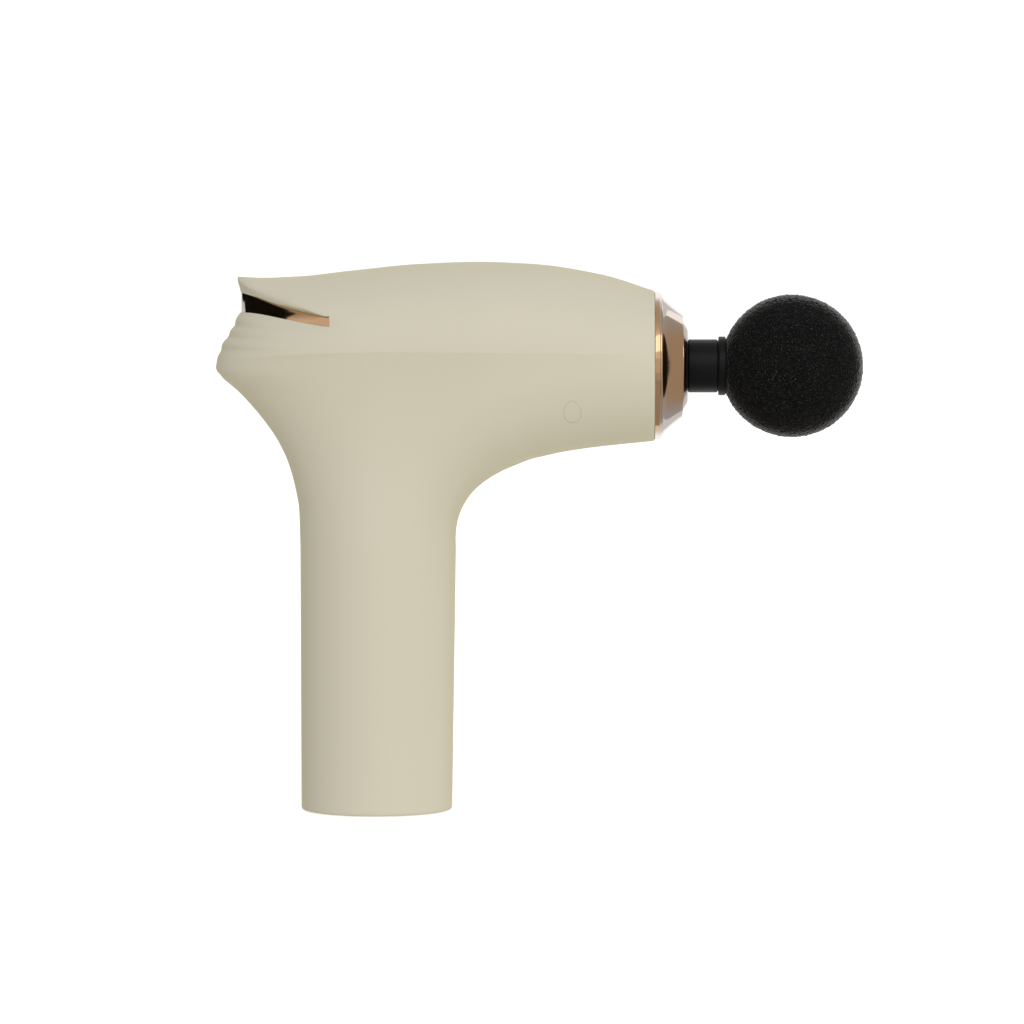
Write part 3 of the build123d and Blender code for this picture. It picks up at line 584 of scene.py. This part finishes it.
def wing_relief(x, z):
    """Low ridge of the wing, with the hollow below it in which the trim lies."""
    above = z - ridge_line(x)
    reach = RIDGE_REACH_ABOVE if above > 0 else RIDGE_REACH_BELOW
    ridge = RIDGE_HEIGHT * math.exp(-(above / reach) ** 2)
    hollow = -HOLLOW_DEPTH * math.exp(-((above + HOLLOW_DROP) / HOLLOW_REACH) ** 2)
    return fade(x, *WING_FADE) * (ridge + hollow)


def rib_relief(x, z):
    """Soft ribs that run forward from the notches of the back edge and die out."""
    height = z + RIB_SLOPE * (x - RIB_START_X)
    if not RIB_BOTTOM_Z < height < RIB_TOP_Z:
        return 0.0
    place = ((height - RIB_BOTTOM_Z) / RIB_PITCH) % 1.0
    return RIB_HEIGHT * fade(x, *RIB_FADE) * (1 - (2 * place - 1) ** 2)


def tuck_relief(x, z):
    """The flank of the tail tucks in just below the side crease."""
    below = max(crease_line(x) - z, 0.0)
    depth = (1 - math.exp(-below / TUCK_START)) * math.exp(-below / TUCK_REACH)
    return -TUCK_DEPTH * fade(x, *TUCK_FADE) * depth


def half_width(x, z):
    """Half width of the closed housing at a point of its middle plane."""
    plain = plain_half_width(x, z)
    if x > TUCK_FADE[0] or z < RELIEF_BOTTOM_Z:
        return plain
    relief = wing_relief(x, z) + rib_relief(x, z) + tuck_relief(x, z)
    return plain + relief * ease(plain / RELIEF_RIM)


GRIP_SWELL = (GRIP_FRONT_FLARE + GRIP_BACK_FLARE) / 2
SWELL_FADE = 30


def plain_half_width(x, z):
    """Half width before the relief of the tail end is added."""
    if z < GRIP_TOP_Z:
        middle = (grip_front(z) + grip_back(z)) / 2
        back = grip_back(z)
        base_width = middle - back
    else:
        middle = middle_line(z)
        back = back_line(z)
        base_width = GRIP_RADIUS + GRIP_SWELL * (1 - ease((z - GRIP_TOP_Z) / SWELL_FADE))
    back_round = math.sqrt(max(0.0, 1 - (max(0.0, middle - x) / (middle - back)) ** 2))
    depth = max(depth_from_underside(x, z), 0.0)
    under_round = math.sqrt(max(0.0, 1 - (1 - min(depth / base_width, 1)) ** 2))
    blend = ease((x - CIRCLE_START_X) / (FRONT_X - CIRCLE_START_X))
    widest_z = crease_line(x) + (HEAD_Z - crease_line(x)) * blend
    rise = max(0.0, z - widest_z) / (top_line(x) - widest_z)
    top_round = math.sqrt(max(0.0, 1 - rise * rise))
    lift = min(max((z - CREASE_START_Z) / (crease_line(x) - CREASE_START_Z), 0.0), 1.0)
    width = base_width + (crease_width(x) - base_width) * lift ** 3
    return width * back_round * under_round * top_round


RAY_START = 50.0
RAY_STEP = 0.5
HALVINGS = 30


def last_inside(low, high, inside):
    """Halves the span between a value inside and one outside until it stands on the border."""
    for _ in range(HALVINGS):
        mid = (low + high) / 2
        low, high = (mid, high) if inside(mid) else (low, mid)
    return low


def fan_point(angle, radius):
    """Point at an angle in degrees and a radius about the centre of the throat."""
    return (THROAT_X + radius * math.cos(math.radians(angle)),
            GRIP_TOP_Z + radius * math.sin(math.radians(angle)))


def ray_end(angle):
    """Where a fan line leaves the housing through the back or the top."""
    def inside(radius):
        x, z = fan_point(angle, radius)
        return x > back_line(z) and z < top_line(x)

    low = RAY_START
    while inside(low + RAY_STEP):
        low += RAY_STEP
    return fan_point(angle, last_inside(low, low + RAY_STEP, inside))


# rows of the skin: up the grip, round the fan with a finer part over the ribs, and along the barrel
BASE_EDGE_RADIUS = 0.8
BASE_EDGE_HEIGHTS = [0.0, 0.15, 0.4, 0.8]
GRIP_START_Z = 1.5
GRIP_ROWS = 36
FAN_START = 179.2
FAN_STEP = 0.6
TAIL_ANGLE = fan_angle(-53.5, 147.2)
TAIL_STEP = 0.16
WING_ANGLE = fan_angle(-46.2, 177.65)
TOP_ROWS = 110
BARREL_ROWS = 34
FRONT_EDGE_RADIUS = 0.7
FRONT_EDGE_GAPS = [0.6, 0.3, 0.1, 0.0]


def edge_inset(depth, radius):
    """How far a rounded edge stands back at a depth below its rim."""
    if depth >= radius:
        return 0.0
    return radius - math.sqrt(max(0.0, radius ** 2 - (radius - depth) ** 2))


def housing_stations():
    """Pairs of middle-plane points, from the base up the grip, round the fan and out to the front rim."""
    pairs = []
    for z in BASE_EDGE_HEIGHTS + list(np.linspace(GRIP_START_Z, GRIP_TOP_Z, GRIP_ROWS)):
        inset = edge_inset(z, BASE_EDGE_RADIUS)
        pairs.append(((grip_front(z) - inset, z), (grip_back(z) + inset, z), inset))
    angles = list(np.arange(FAN_START, TAIL_ANGLE, -FAN_STEP))
    angles += list(np.arange(TAIL_ANGLE, WING_ANGLE, -TAIL_STEP))
    angles += list(np.linspace(WING_ANGLE, 90, TOP_ROWS))
    for angle in angles:
        pairs.append((fan_point(angle, throat_radius(angle)), ray_end(angle), 0.0))
    barrel = list(np.linspace(THROAT_X + 1, FRONT_X - 1.0, BARREL_ROWS))
    for x in barrel + [FRONT_X - gap for gap in FRONT_EDGE_GAPS]:
        inset = edge_inset(FRONT_X - x, FRONT_EDGE_RADIUS)
        pairs.append(((x, under_line(x) + inset), (x, top_line(x) - inset), inset))
    return pairs


COLUMNS_BELOW = 72
COLUMNS_ABOVE = 44
COLUMNS = COLUMNS_BELOW + COLUMNS_ABOVE + 3
CREASE_BEVEL = 0.12
MEAN_HALF_WIDTH = 25.0
SEAM = 0.22
# The straight grip and the fan below the tail have no crease. There its column drifts from the limit
# towards the front by a share of the line, over a number of rows.
FIRST_CREASED_ROW = len(BASE_EDGE_HEIGHTS) + GRIP_ROWS + int((FAN_START - TAIL_ANGLE) / FAN_STEP) + 1
CREASE_LIMIT = 0.97
DRIFT_SHARE = 0.35
DRIFT_ROWS = 40


def crease_fraction(x_in, z_in, ux, uz, length, row):
    """How far along a middle-plane line the side crease lies; lines that miss it drift smoothly."""
    def above(t):
        return z_in + uz * length * t - crease_line(x_in + ux * length * t)

    if uz <= 0 or above(CREASE_LIMIT) <= 0:
        return CREASE_LIMIT - DRIFT_SHARE * ease((FIRST_CREASED_ROW - row) / DRIFT_ROWS)
    return last_inside(0.0, CREASE_LIMIT, lambda t: above(t) < 0)


def housing_skin():
    """Outer skin of one half on the +Y side: rows of points with a column along the side crease."""
    rows = []
    for number, ((x_in, z_in), (x_out, z_out), inset) in enumerate(housing_stations()):
        length = math.hypot(x_out - x_in, z_out - z_in)
        ux, uz = (x_out - x_in) / length, (z_out - z_in) / length
        crease = crease_fraction(x_in, z_in, ux, uz, length, number)
        bevel = CREASE_BEVEL / length
        rest = 1 - crease - bevel
        fractions = [(crease - bevel) * (1 - math.cos(math.pi / 2 * k / COLUMNS_BELOW))
                     for k in range(COLUMNS_BELOW)]
        fractions += [crease - bevel, crease]
        fractions += [1 - rest * (1 - math.sin(math.pi / 2 * k / COLUMNS_ABOVE))
                      for k in range(COLUMNS_ABOVE + 1)]
        row = []
        for t in fractions:
            x, z = x_in + ux * length * t, z_in + uz * length * t
            outward = inset * (2 * t - 1)
            full = half_width(x + ux * outward, z + uz * outward) if 0 < t < 1 else 0.0
            row.append([x, full * (1 - inset / MEAN_HALF_WIDTH), z])
        row[0] = [x_in + ux * SEAM, 0.0, z_in + uz * SEAM]
        row[-1] = [x_out - ux * SEAM, 0.0, z_out - uz * SEAM]
        rows.append(row)
    return rows


def cut(piece, cutter):
    """Subtracts a cutter mesh from a piece for good and removes the cutter."""
    modifier = piece.modifiers.new("cut", "BOOLEAN")
    modifier.operation = "DIFFERENCE"
    modifier.solver = "EXACT"
    modifier.object = cutter
    apply_modifiers(piece)
    bpy.data.objects.remove(cutter)


def apply_modifiers(piece):
    """Replaces the mesh by its modified result."""
    graph = bpy.context.evaluated_depsgraph_get()
    result = bpy.data.meshes.new_from_object(piece.evaluated_get(graph))
    piece.modifiers.clear()
    piece.data = result


BUTTON_X = 65.6
BUTTON_Z = 133.2
BUTTON_HALF_WIDTH = 2.85
BUTTON_HALF_HEIGHT = 3.65
BUTTON_TAPER = 0.13
BUTTON_GAP = 0.035
BUTTON_THICKNESS = 3.0
BUTTON_POINTS = 72


def egg(grow):
    """Egg outline about the button centre, narrow end up, as (x, z) points."""
    points = []
    for k in range(BUTTON_POINTS):
        angle = 2 * math.pi * k / BUTTON_POINTS
        taper = 1 - BUTTON_TAPER * math.sin(angle)
        points.append((BUTTON_X + (BUTTON_HALF_WIDTH + grow) * math.cos(angle) * taper,
                       BUTTON_Z + (BUTTON_HALF_HEIGHT + grow) * math.sin(angle)))
    return points


def prism_cutter(outline, near, far):
    """Prism on an (x, z) outline that reaches across the housing from one Y to another."""
    count = len(outline)
    points = [(x, near, z) for x, z in outline] + [(x, far, z) for x, z in outline]
    faces = [tuple(range(count)), tuple(range(2 * count - 1, count - 1, -1))]
    faces += [(k, (k + 1) % count, count + (k + 1) % count, count + k) for k in range(count)]
    return mesh_object("cutter", points, faces)


# trim strip: height of its edges along X
trim_upper = curve_through([(-46, 172.6), (-38.8, 170.5), (-32.2, 168.2), (-25.5, 166.5), (-15.5, 164.2)])
trim_lower = curve_through([(-46, 166.0), (-38.8, 165.3), (-25.5, 163.0), (-15.5, 161.3)])
TRIM_FRONT_X = -14.7
TRIM_CENTRE_X = 2.5
TRIM_LENGTH = 47.6
TRIM_MIDDLE_Z = 163
# heights between which the back edge is upright behind the trim
TRIM_BACK_LOW_Z = 166.05
TRIM_BACK_HIGH_Z = 171.9
TRIM_COLUMNS = 9
TRIM_STEPS = 150
TRIM_SHARP_ANGLE = 35
# The strip lies this far under the skin and leaves the same gap to the edges of its pocket.
TRIM_GAP = 0.12
STRIP_DEPTH = 0.85
POCKET_DEPTH = 0.9
POCKET_ABOVE = 2.0
JUST_INSIDE = 1e-4
ON_MIDDLE = 1e-6


def trim_grid(margin):
    """Points of the skin between the trim's two edges: round the back in rows, upwards in columns."""
    middle = middle_line(TRIM_MIDDLE_Z)
    limit = math.acos((middle - TRIM_FRONT_X - margin) / (middle - back_line(TRIM_MIDDLE_Z)))
    grid = []
    for k in range(TRIM_STEPS + 1):
        turn = limit * (2 * k / TRIM_STEPS - 1)
        x_flat = TRIM_CENTRE_X - TRIM_LENGTH * math.cos(turn)
        low, high = trim_lower(x_flat) - margin, trim_upper(x_flat) + margin
        row = []
        for c in range(TRIM_COLUMNS):
            z = low + (high - low) * c / (TRIM_COLUMNS - 1)
            back = back_line(min(max(z, TRIM_BACK_LOW_Z), TRIM_BACK_HIGH_Z))
            x = TRIM_CENTRE_X - (TRIM_CENTRE_X - back) * math.cos(turn)
            y = plain_half_width(max(x, back_line(z) + JUST_INSIDE), z) if abs(turn) > ON_MIDDLE else 0.0
            y -= HOLLOW_DEPTH * fade(x, *WING_FADE) * ease(y / RELIEF_RIM)
            row.append(Vector((x, math.copysign(y, turn), z)))
        grid.append(row)
    return grid


def trim_shell(outward, inward, margin):
    """Closed band round the back of the housing, from `outward` above the skin to `inward` below it."""
    grid = trim_grid(margin)
    rows, across = len(grid), TRIM_COLUMNS
    points = []
    for shift in (outward, -inward):
        for k in range(rows):
            for c in range(across):
                along = grid[min(k + 1, rows - 1)][c] - grid[max(k - 1, 0)][c]
                over = grid[k][min(c + 1, across - 1)] - grid[k][max(c - 1, 0)]
                normal = along.cross(over).normalized()
                if normal.dot(grid[k][c] - Vector((TRIM_CENTRE_X, 0, grid[k][c].z))) < 0:
                    normal = -normal
                points.append(tuple(grid[k][c] + normal * shift))
    size = rows * across
    faces = grid_faces(rows, across)
    faces += [tuple(size + v for v in reversed(face)) for face in grid_faces(rows, across)]
    rim = [k * across for k in range(rows)] + [(rows - 1) * across + c for c in range(1, across)]
    rim += [k * across + across - 1 for k in range(rows - 2, -1, -1)] + list(range(across - 2, 0, -1))
    faces += [(rim[i], rim[(i + 1) % len(rim)], size + rim[(i + 1) % len(rim)], size + rim[i])
              for i in range(len(rim))]
    return points, faces


SHELL_SHARP_ANGLE = 32
SLEEVE_BORE = 3.1
# where the cutters for the button and the screw wells start and end across the housing
BUTTON_CUT = (-40, -12)
SCREW_CUT = (6, 40)
SCREW_CUT_POINTS = 40


def housing_half(name, side):
    """Shell half with its pocket for the trim and its hole for the button or for the screws."""
    rows = housing_skin()
    points = [(x, side * y, z) for row in rows for x, y, z in row]
    faces = grid_faces(len(rows), COLUMNS)
    half = make_piece(name, points, faces, cream, "housing", (name,), SHELL_SHARP_ANGLE)
    probe = half.data.polygons[len(half.data.polygons) // 2]
    if probe.normal.y * side <= 0:
        half.data.flip_normals()
    thick = half.modifiers.new("wall", "SOLIDIFY")
    thick.thickness = SHELL_THICKNESS * MM
    thick.offset = -1
    apply_modifiers(half)
    cut(half, mesh_object("cutter", *trim_shell(POCKET_ABOVE, POCKET_DEPTH, TRIM_GAP)))
    if side < 0:
        cut(half, prism_cutter(egg(BUTTON_GAP), *BUTTON_CUT))
    else:
        for x, z in HOUSING_SCREWS:
            cut(half, prism_cutter(circle(x, z, SLEEVE_BORE, SCREW_CUT_POINTS), *SCREW_CUT))
    smoothed(half, SHELL_SHARP_ANGLE)


housing_half("housing_left", 1)
housing_half("housing_right", -1)

points, faces = trim_shell(-TRIM_GAP, STRIP_DEPTH, 0.0)
make_piece("rear_trim_strip", points, faces, rose, "housing", ("rear_trim",), TRIM_SHARP_ANGLE)


# ------------------------------------------------------------------ screw wells seen from the left side
SLEEVE_RADIUS = 4.0
SLEEVE_START_Y = 4.6
SLEEVE_SINK = 0.35
SLEEVE_SEGMENTS = 72


def screw_well(index, x, z):
    """Moulded sleeve that carries a screw head and ends inside the shell wall on the left side."""
    points = []
    for k in range(SLEEVE_SEGMENTS):
        cos, sin = math.cos(2 * math.pi * k / SLEEVE_SEGMENTS), math.sin(2 * math.pi * k / SLEEVE_SEGMENTS)
        inner, outer = (half_width(x + r * cos, z + r * sin) - SLEEVE_SINK
                        for r in (SLEEVE_BORE, SLEEVE_RADIUS))
        outline = [(SLEEVE_BORE, SLEEVE_START_Y), (SLEEVE_BORE, inner),
                   (SLEEVE_RADIUS, outer), (SLEEVE_RADIUS, SLEEVE_START_Y)]
        points += [(x + r * cos, y, z + r * sin) for r, y in outline]
    faces = ring_faces(SLEEVE_SEGMENTS, len(outline))
    make_piece(f"screw_well_{index}", points, faces, cream, "housing")


for index, (x, z) in enumerate(HOUSING_SCREWS, 1):
    screw_well(index, x, z)


# ------------------------------------------------------------------ push button
# rings of the button's face, as the share of its outline and the depth below the housing's skin
BUTTON_FACE = [(0.3, 0.02), (0.6, 0.02), (0.85, 0.02), (0.95, 0.025), (0.985, 0.04), (1.0, 0.10)]
BUTTON_SINK = 0.02


def button_piece():
    """Flush egg-shaped button whose face follows the housing surface, with a softened edge."""
    outline = egg(0.0)
    count = len(outline)
    points = [(BUTTON_X, -half_width(BUTTON_X, BUTTON_Z) + BUTTON_SINK, BUTTON_Z)]
    for share, depth in BUTTON_FACE:
        for x, z in outline:
            px, pz = BUTTON_X + (x - BUTTON_X) * share, BUTTON_Z + (z - BUTTON_Z) * share
            points.append((px, -half_width(px, pz) + depth, pz))
    for x, z in outline + [(BUTTON_X, BUTTON_Z)]:
        points.append((x, -half_width(x, z) + BUTTON_THICKNESS, z))
    faces = [(0, 1 + k, 1 + (k + 1) % count) for k in range(count)]
    for layer in range(len(BUTTON_FACE)):
        a, b = 1 + layer * count, 1 + (layer + 1) * count
        faces += [(a + k, b + k, b + (k + 1) % count, a + (k + 1) % count) for k in range(count)]
    last = 1 + len(BUTTON_FACE) * count
    faces += [(last + k, len(points) - 1, last + (k + 1) % count) for k in range(count)]
    make_piece("speed_button_cap", points, faces, cream, "button", ("speed_button",))


button_piece()


# ------------------------------------------------------------------ nose ring and bezel
turned_piece("nose_ring", [
    (92.72, 24.7, 0.15), (94.45, 24.7, 0.35), (94.55, 23.95, 0), (94.8, 23.95, 0), (95.0, 23.85, 0),
    (95.4, 23.22, 0), (95.9, 22.55, 0), (96.4, 21.98, 0), (96.9, 21.47, 0), (98.2, 20.28, 0),
    (99.5, 19.18, 0), (100.8, 18.15, 0), (101.9, 17.35, 0), (101.9, 14.02, 0),
    (97.0, 14.02, 0), (97.0, 16.2, 0),
    (93.5, 20.8, 0), (91.5, 20.8, 0), (91.5, 17.0, 0), (88.5, 17.0, 0), (88.5, 20.8, 0),
    (86.2, 20.8, 0), (86.2, 22.2, 0), (92.72, 22.2, 0)], rose, "housing", ("front_ring",))
turned_piece("nose_lip", [
    (93.5, 12.3, 0), (93.5, 13.95, 0), (101.92, 13.95, 0), (101.92, 15.1, 0.1), (102.15, 15.1, 0.1),
    (103.6, 12.75, 0.25), (103.35, 12.3, 0.12)], rose, "housing", ("nose_bezel",))


# ------------------------------------------------------------------ massage head
turned_piece("stem", [
    (75.0, 6.0, 0), (75.0, 8.85, 0.6), (101.6, 8.85, 0), (102.2, 8.25, 0.2), (103.7, 8.25, 0.2),
    (103.9, 8.85, 0.25), (113.35, 8.85, 0.2), (113.45, 8.45, 0.1), (113.75, 8.45, 0.1),
    (113.8, 8.85, 0), (125.0, 8.85, 0.6), (125.0, 3.0, 0), (108.0, 3.0, 0), (108.0, 6.0, 0)],
    stem_black, "massage_head", ("head_stem",))
turned_piece("collar", [
    (113.8, 8.86, 0), (113.8, 9.8, 0.45), (116.2, 9.8, 0.45), (116.2, 8.86, 0)],
    stem_black, "massage_head", ("head_collar",))


BALL_X = 138.2
BALL_RADIUS = 23.7
COLLAR_FLOOR_X = 116.1
COLLAR_REACH = 9.9
FOAM_FINENESS = 7
# slow waves of the skin, as their scale and the height that those of one scale add up to
FOAM_WAVES = ((9, 0.03), (31, 0.01), (90, 0.01))
WAVES_EACH = 6
WAVES_SUM = 2.4
WAVE_PHASES = 6.3
WAVE_SEED = 5
# The skin lies a little inside the ball. Its points wander, and a few sit in a pore or on a strand.
FOAM_INSET = 0.12
FOAM_WANDER = 0.045
PORE_DEPTH, PORE_CHANCE = 0.13, 0.14
STRAND_HEIGHT, STRAND_CHANCE = 0.20, 0.08
RAGGED_SEED = 7


def foam_piece():
    """Foam ball with a porous, slightly ragged skin that is flat where the collar meets it."""
    work = bmesh.new()
    fineness = FOAM_FINENESS
    bmesh.ops.create_icosphere(work, subdivisions=fineness, radius=1.0)
    rng = random.Random(RAGGED_SEED)
    points = np.array([v.co[:] for v in work.verts])
    waves = np.random.default_rng(WAVE_SEED)
    relief = np.zeros(len(points))
    for scale, amount in FOAM_WAVES:
        for _ in range(WAVES_EACH):
            direction = waves.normal(size=3)
            direction /= np.linalg.norm(direction)
            phase = waves.uniform(0, WAVE_PHASES)
            relief += amount / WAVES_SUM * np.sin(points @ direction * scale + phase)
    for vertex, wave in zip(work.verts, relief):
        wander = rng.gauss(0, FOAM_WANDER)
        pore = PORE_DEPTH * (rng.random() < PORE_CHANCE)
        strand = STRAND_HEIGHT * (rng.random() < STRAND_CHANCE)
        radius = BALL_RADIUS - FOAM_INSET + wave + (wander - pore + strand)
        x = BALL_X + vertex.co.x * radius
        y, z = vertex.co.y * radius, vertex.co.z * radius
        if vertex.co.x < 0 and math.hypot(y, z) < COLLAR_REACH:
            x = max(x, COLLAR_FLOOR_X)
        vertex.co = (x * MM, y * MM, (HEAD_Z + z) * MM)
    mesh = bpy.data.meshes.new("foam_ball_skin")
    work.to_mesh(mesh)
    work.free()
    mesh.shade_smooth()
    mesh.materials.append(foam)
    ball = linked("foam_ball_skin", mesh)
    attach(ball, "massage_head")
    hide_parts("foam_ball")


foam_piece()


# ------------------------------------------------------------------ studio
KEY_PLACE = (0.50, -1.35, 1.20)
KEY_AIM = (0.04, 0, 0.12)
KEY_SIZE = (1.5, 0.8)
KEY_POWER = 2.6


def key_light():
    """Soft light from high in front of the right side."""
    data = bpy.data.lights.new("key", "AREA")
    data.shape = "RECTANGLE"
    data.size, data.size_y = KEY_SIZE
    data.energy = KEY_POWER
    light = linked("key", data)
    light.location = KEY_PLACE
    light.rotation_mode = "QUATERNION"
    light.rotation_quaternion = (Vector(KEY_AIM) - Vector(KEY_PLACE)).to_track_quat("-Z", "Y")


def sheet(name, corners, scale, dark, light, **settings):
    """Glowing sheet of the studio that casts no light or shadow; its grey wanders between two tones."""
    mesh = bpy.data.meshes.new(name)
    mesh.from_pydata(corners, [], [(0, 1, 2, 3)])
    n = Nodes(name)
    n.colour(n.ramp(n.noise(scale, 3), [(0.3, (dark, dark, dark)), (0.7, (light, light, light))]))
    n.value(Emission_Color=(1, 1, 1, 1), **settings)
    mesh.materials.append(n.material)
    item = linked(name, mesh)
    item.visible_diffuse = False
    item.visible_shadow = False
    return item


# level and corners of the cards that shape the reflections in the metal
REFLECTED_CARDS = [
    ("dark_card", 0.0, [(-0.62, -0.70, -0.2), (-0.62, 0.14, 1.6), (-0.58, 0.43, 1.6), (-0.58, 0.42, -0.2)]),
    ("strip_card", 0.60, [(-1.6, -1.0, 0.1), (-0.15, -1.3, 0.1), (-0.15, -1.3, 2.4), (-1.6, -1.0, 2.4)]),
    ("grey_card", 0.33,
     [(0.36, -0.30, -0.25), (0.36, -0.30, 0.60), (0.36, 0.20, 0.60), (0.36, 0.32, -0.25)]),
    ("lip_card", 0.62, [(1.3, 0.3, -1.1), (1.3, 0.3, 0.65), (0.45, 0.95, 0.65), (0.45, 0.95, -1.1)]),
    ("high_card", 0.88, [(-0.1, -1.9, 0.95), (1.2, -1.9, 0.95), (1.2, -1.9, 2.3), (-0.1, -1.9, 2.3)]),
    ("mid_card", 0.68, [(-0.1, -1.9, 0.55), (1.2, -1.9, 0.55), (1.2, -1.9, 0.95), (-0.1, -1.9, 0.95)]),
    ("front_card", 0.50, [(-1.2, -1.9, -0.2), (1.2, -1.9, -0.2), (1.2, -1.9, 0.55), (-1.2, -1.9, 0.55)]),
    ("low_card", 0.38, [(-1.2, -1.8, -0.55), (1.2, -1.8, -0.55), (1.2, -1.9, -0.2), (-1.2, -1.9, -0.2)]),
    ("under_card", 0.30, [(-1.2, 0.5, -1.7), (1.2, 0.5, -1.7), (1.2, -1.8, -0.55), (-1.2, -1.8, -0.55)]),
]


FLOOR_SIZE = 40.0
FLOOR_DROP = 0.0003


def make_stage():
    """Pale floor that runs to the horizon, and the cards that only reflections see."""
    size = FLOOR_SIZE
    corners = [(-size, -size, 0), (size, -size, 0), (size, size, 0), (-size, size, 0)]
    floor = sheet("floor", corners, 3, 0.86, 0.88, Roughness=0.9, Emission_Strength=0.6)
    floor.location.z = -FLOOR_DROP
    floor.visible_glossy = False
    for name, level, corners in REFLECTED_CARDS:
        card = sheet(name, corners, 5, 0.004, 0.006, Roughness=1.0, Specular_IOR_Level=0.0,
                     Emission_Strength=level)
        card.visible_camera = False


# studio light level by direction, from -1 to 1 along each axis
HEIGHT_LIGHT = [(-1, 0.74), (-0.3, 0.78), (0.0, 1.04), (0.25, 1.30), (0.6, 1.18), (0.85, 0.5), (1, 0.38)]
WARMTH_BELOW = [(-1, 1.0), (-0.2, 0.8), (0.3, 0.0), (1, 0.0)]
WARM_BOUNCE = (1.0, 0.965, 0.86)
BACK_LIGHT = [(-1, 0.0), (0.45, 0.0), (0.82, 1.0), (1, 1.0)]
BACKDROP_LEVEL = 1.02
SIDE_LIGHT = [(-1, 0.42), (-0.5, 0.71), (-0.14, 1.04), (0.4, 0.98), (1, 0.70)]


def make_world():
    """Studio light by direction: white behind, bright above, dim and warm below."""
    world = bpy.data.worlds.new("studio")
    bpy.context.scene.world = world
    world.use_nodes = True
    tree = world.node_tree
    background = tree.nodes["Background"]
    direction = tree.nodes.new("ShaderNodeSeparateXYZ")
    tree.links.new(tree.nodes.new("ShaderNodeTexCoord").outputs["Generated"], direction.inputs["Vector"])

    def profile(axis, stops):
        """Light level along one axis, from (direction, level) pairs."""
        half = tree.nodes.new("ShaderNodeMapRange")
        half.inputs["From Min"].default_value = -1
        tree.links.new(direction.outputs[axis], half.inputs["Value"])
        node = tree.nodes.new("ShaderNodeFloatCurve")
        curve = node.mapping.curves[0]
        curve.points[0].location = ((stops[0][0] + 1) / 2, stops[0][1])
        curve.points[1].location = ((stops[-1][0] + 1) / 2, stops[-1][1])
        for place, amount in stops[1:-1]:
            curve.points.new((place + 1) / 2, amount)
        node.mapping.use_clip = False
        node.mapping.extend = "HORIZONTAL"
        node.mapping.update()
        tree.links.new(half.outputs["Result"], node.inputs["Value"])
        return node.outputs["Value"]

    def calculated(operation, first, second):
        """Result of a math node on two outputs."""
        node = tree.nodes.new("ShaderNodeMath")
        node.operation = operation
        tree.links.new(first, node.inputs[0])
        tree.links.new(second, node.inputs[1])
        return node.outputs["Value"]

    behind = profile("Y", BACK_LIGHT)
    level = tree.nodes.new("ShaderNodeMix")
    tree.links.new(behind, level.inputs["Factor"])
    tree.links.new(profile("Z", HEIGHT_LIGHT), level.inputs["A"])
    level.inputs["B"].default_value = BACKDROP_LEVEL
    dimmed = calculated("MULTIPLY", level.outputs["Result"], profile("X", SIDE_LIGHT))
    tree.links.new(dimmed, background.inputs["Strength"])

    colour = tree.nodes.new("ShaderNodeMix")
    colour.data_type = "RGBA"
    tint = [socket for socket in colour.inputs if socket.type == "RGBA"]
    tint[0].default_value = (*WARM_BOUNCE, 1)
    tint[1].default_value = (1, 1, 1, 1)
    white = tree.nodes.new("ShaderNodeMath")
    white.operation = "SUBTRACT"
    white.use_clamp = True
    white.inputs[0].default_value = 1
    tree.links.new(profile("Z", WARMTH_BELOW), white.inputs[1])
    tree.links.new(calculated("MAXIMUM", white.outputs["Value"], behind), colour.inputs["Factor"])
    result = next(socket for socket in colour.outputs if socket.type == "RGBA")
    tree.links.new(result, background.inputs["Color"])


make_stage()
make_world()
key_light()
bpy.context.scene.view_settings.view_transform = "Standard"
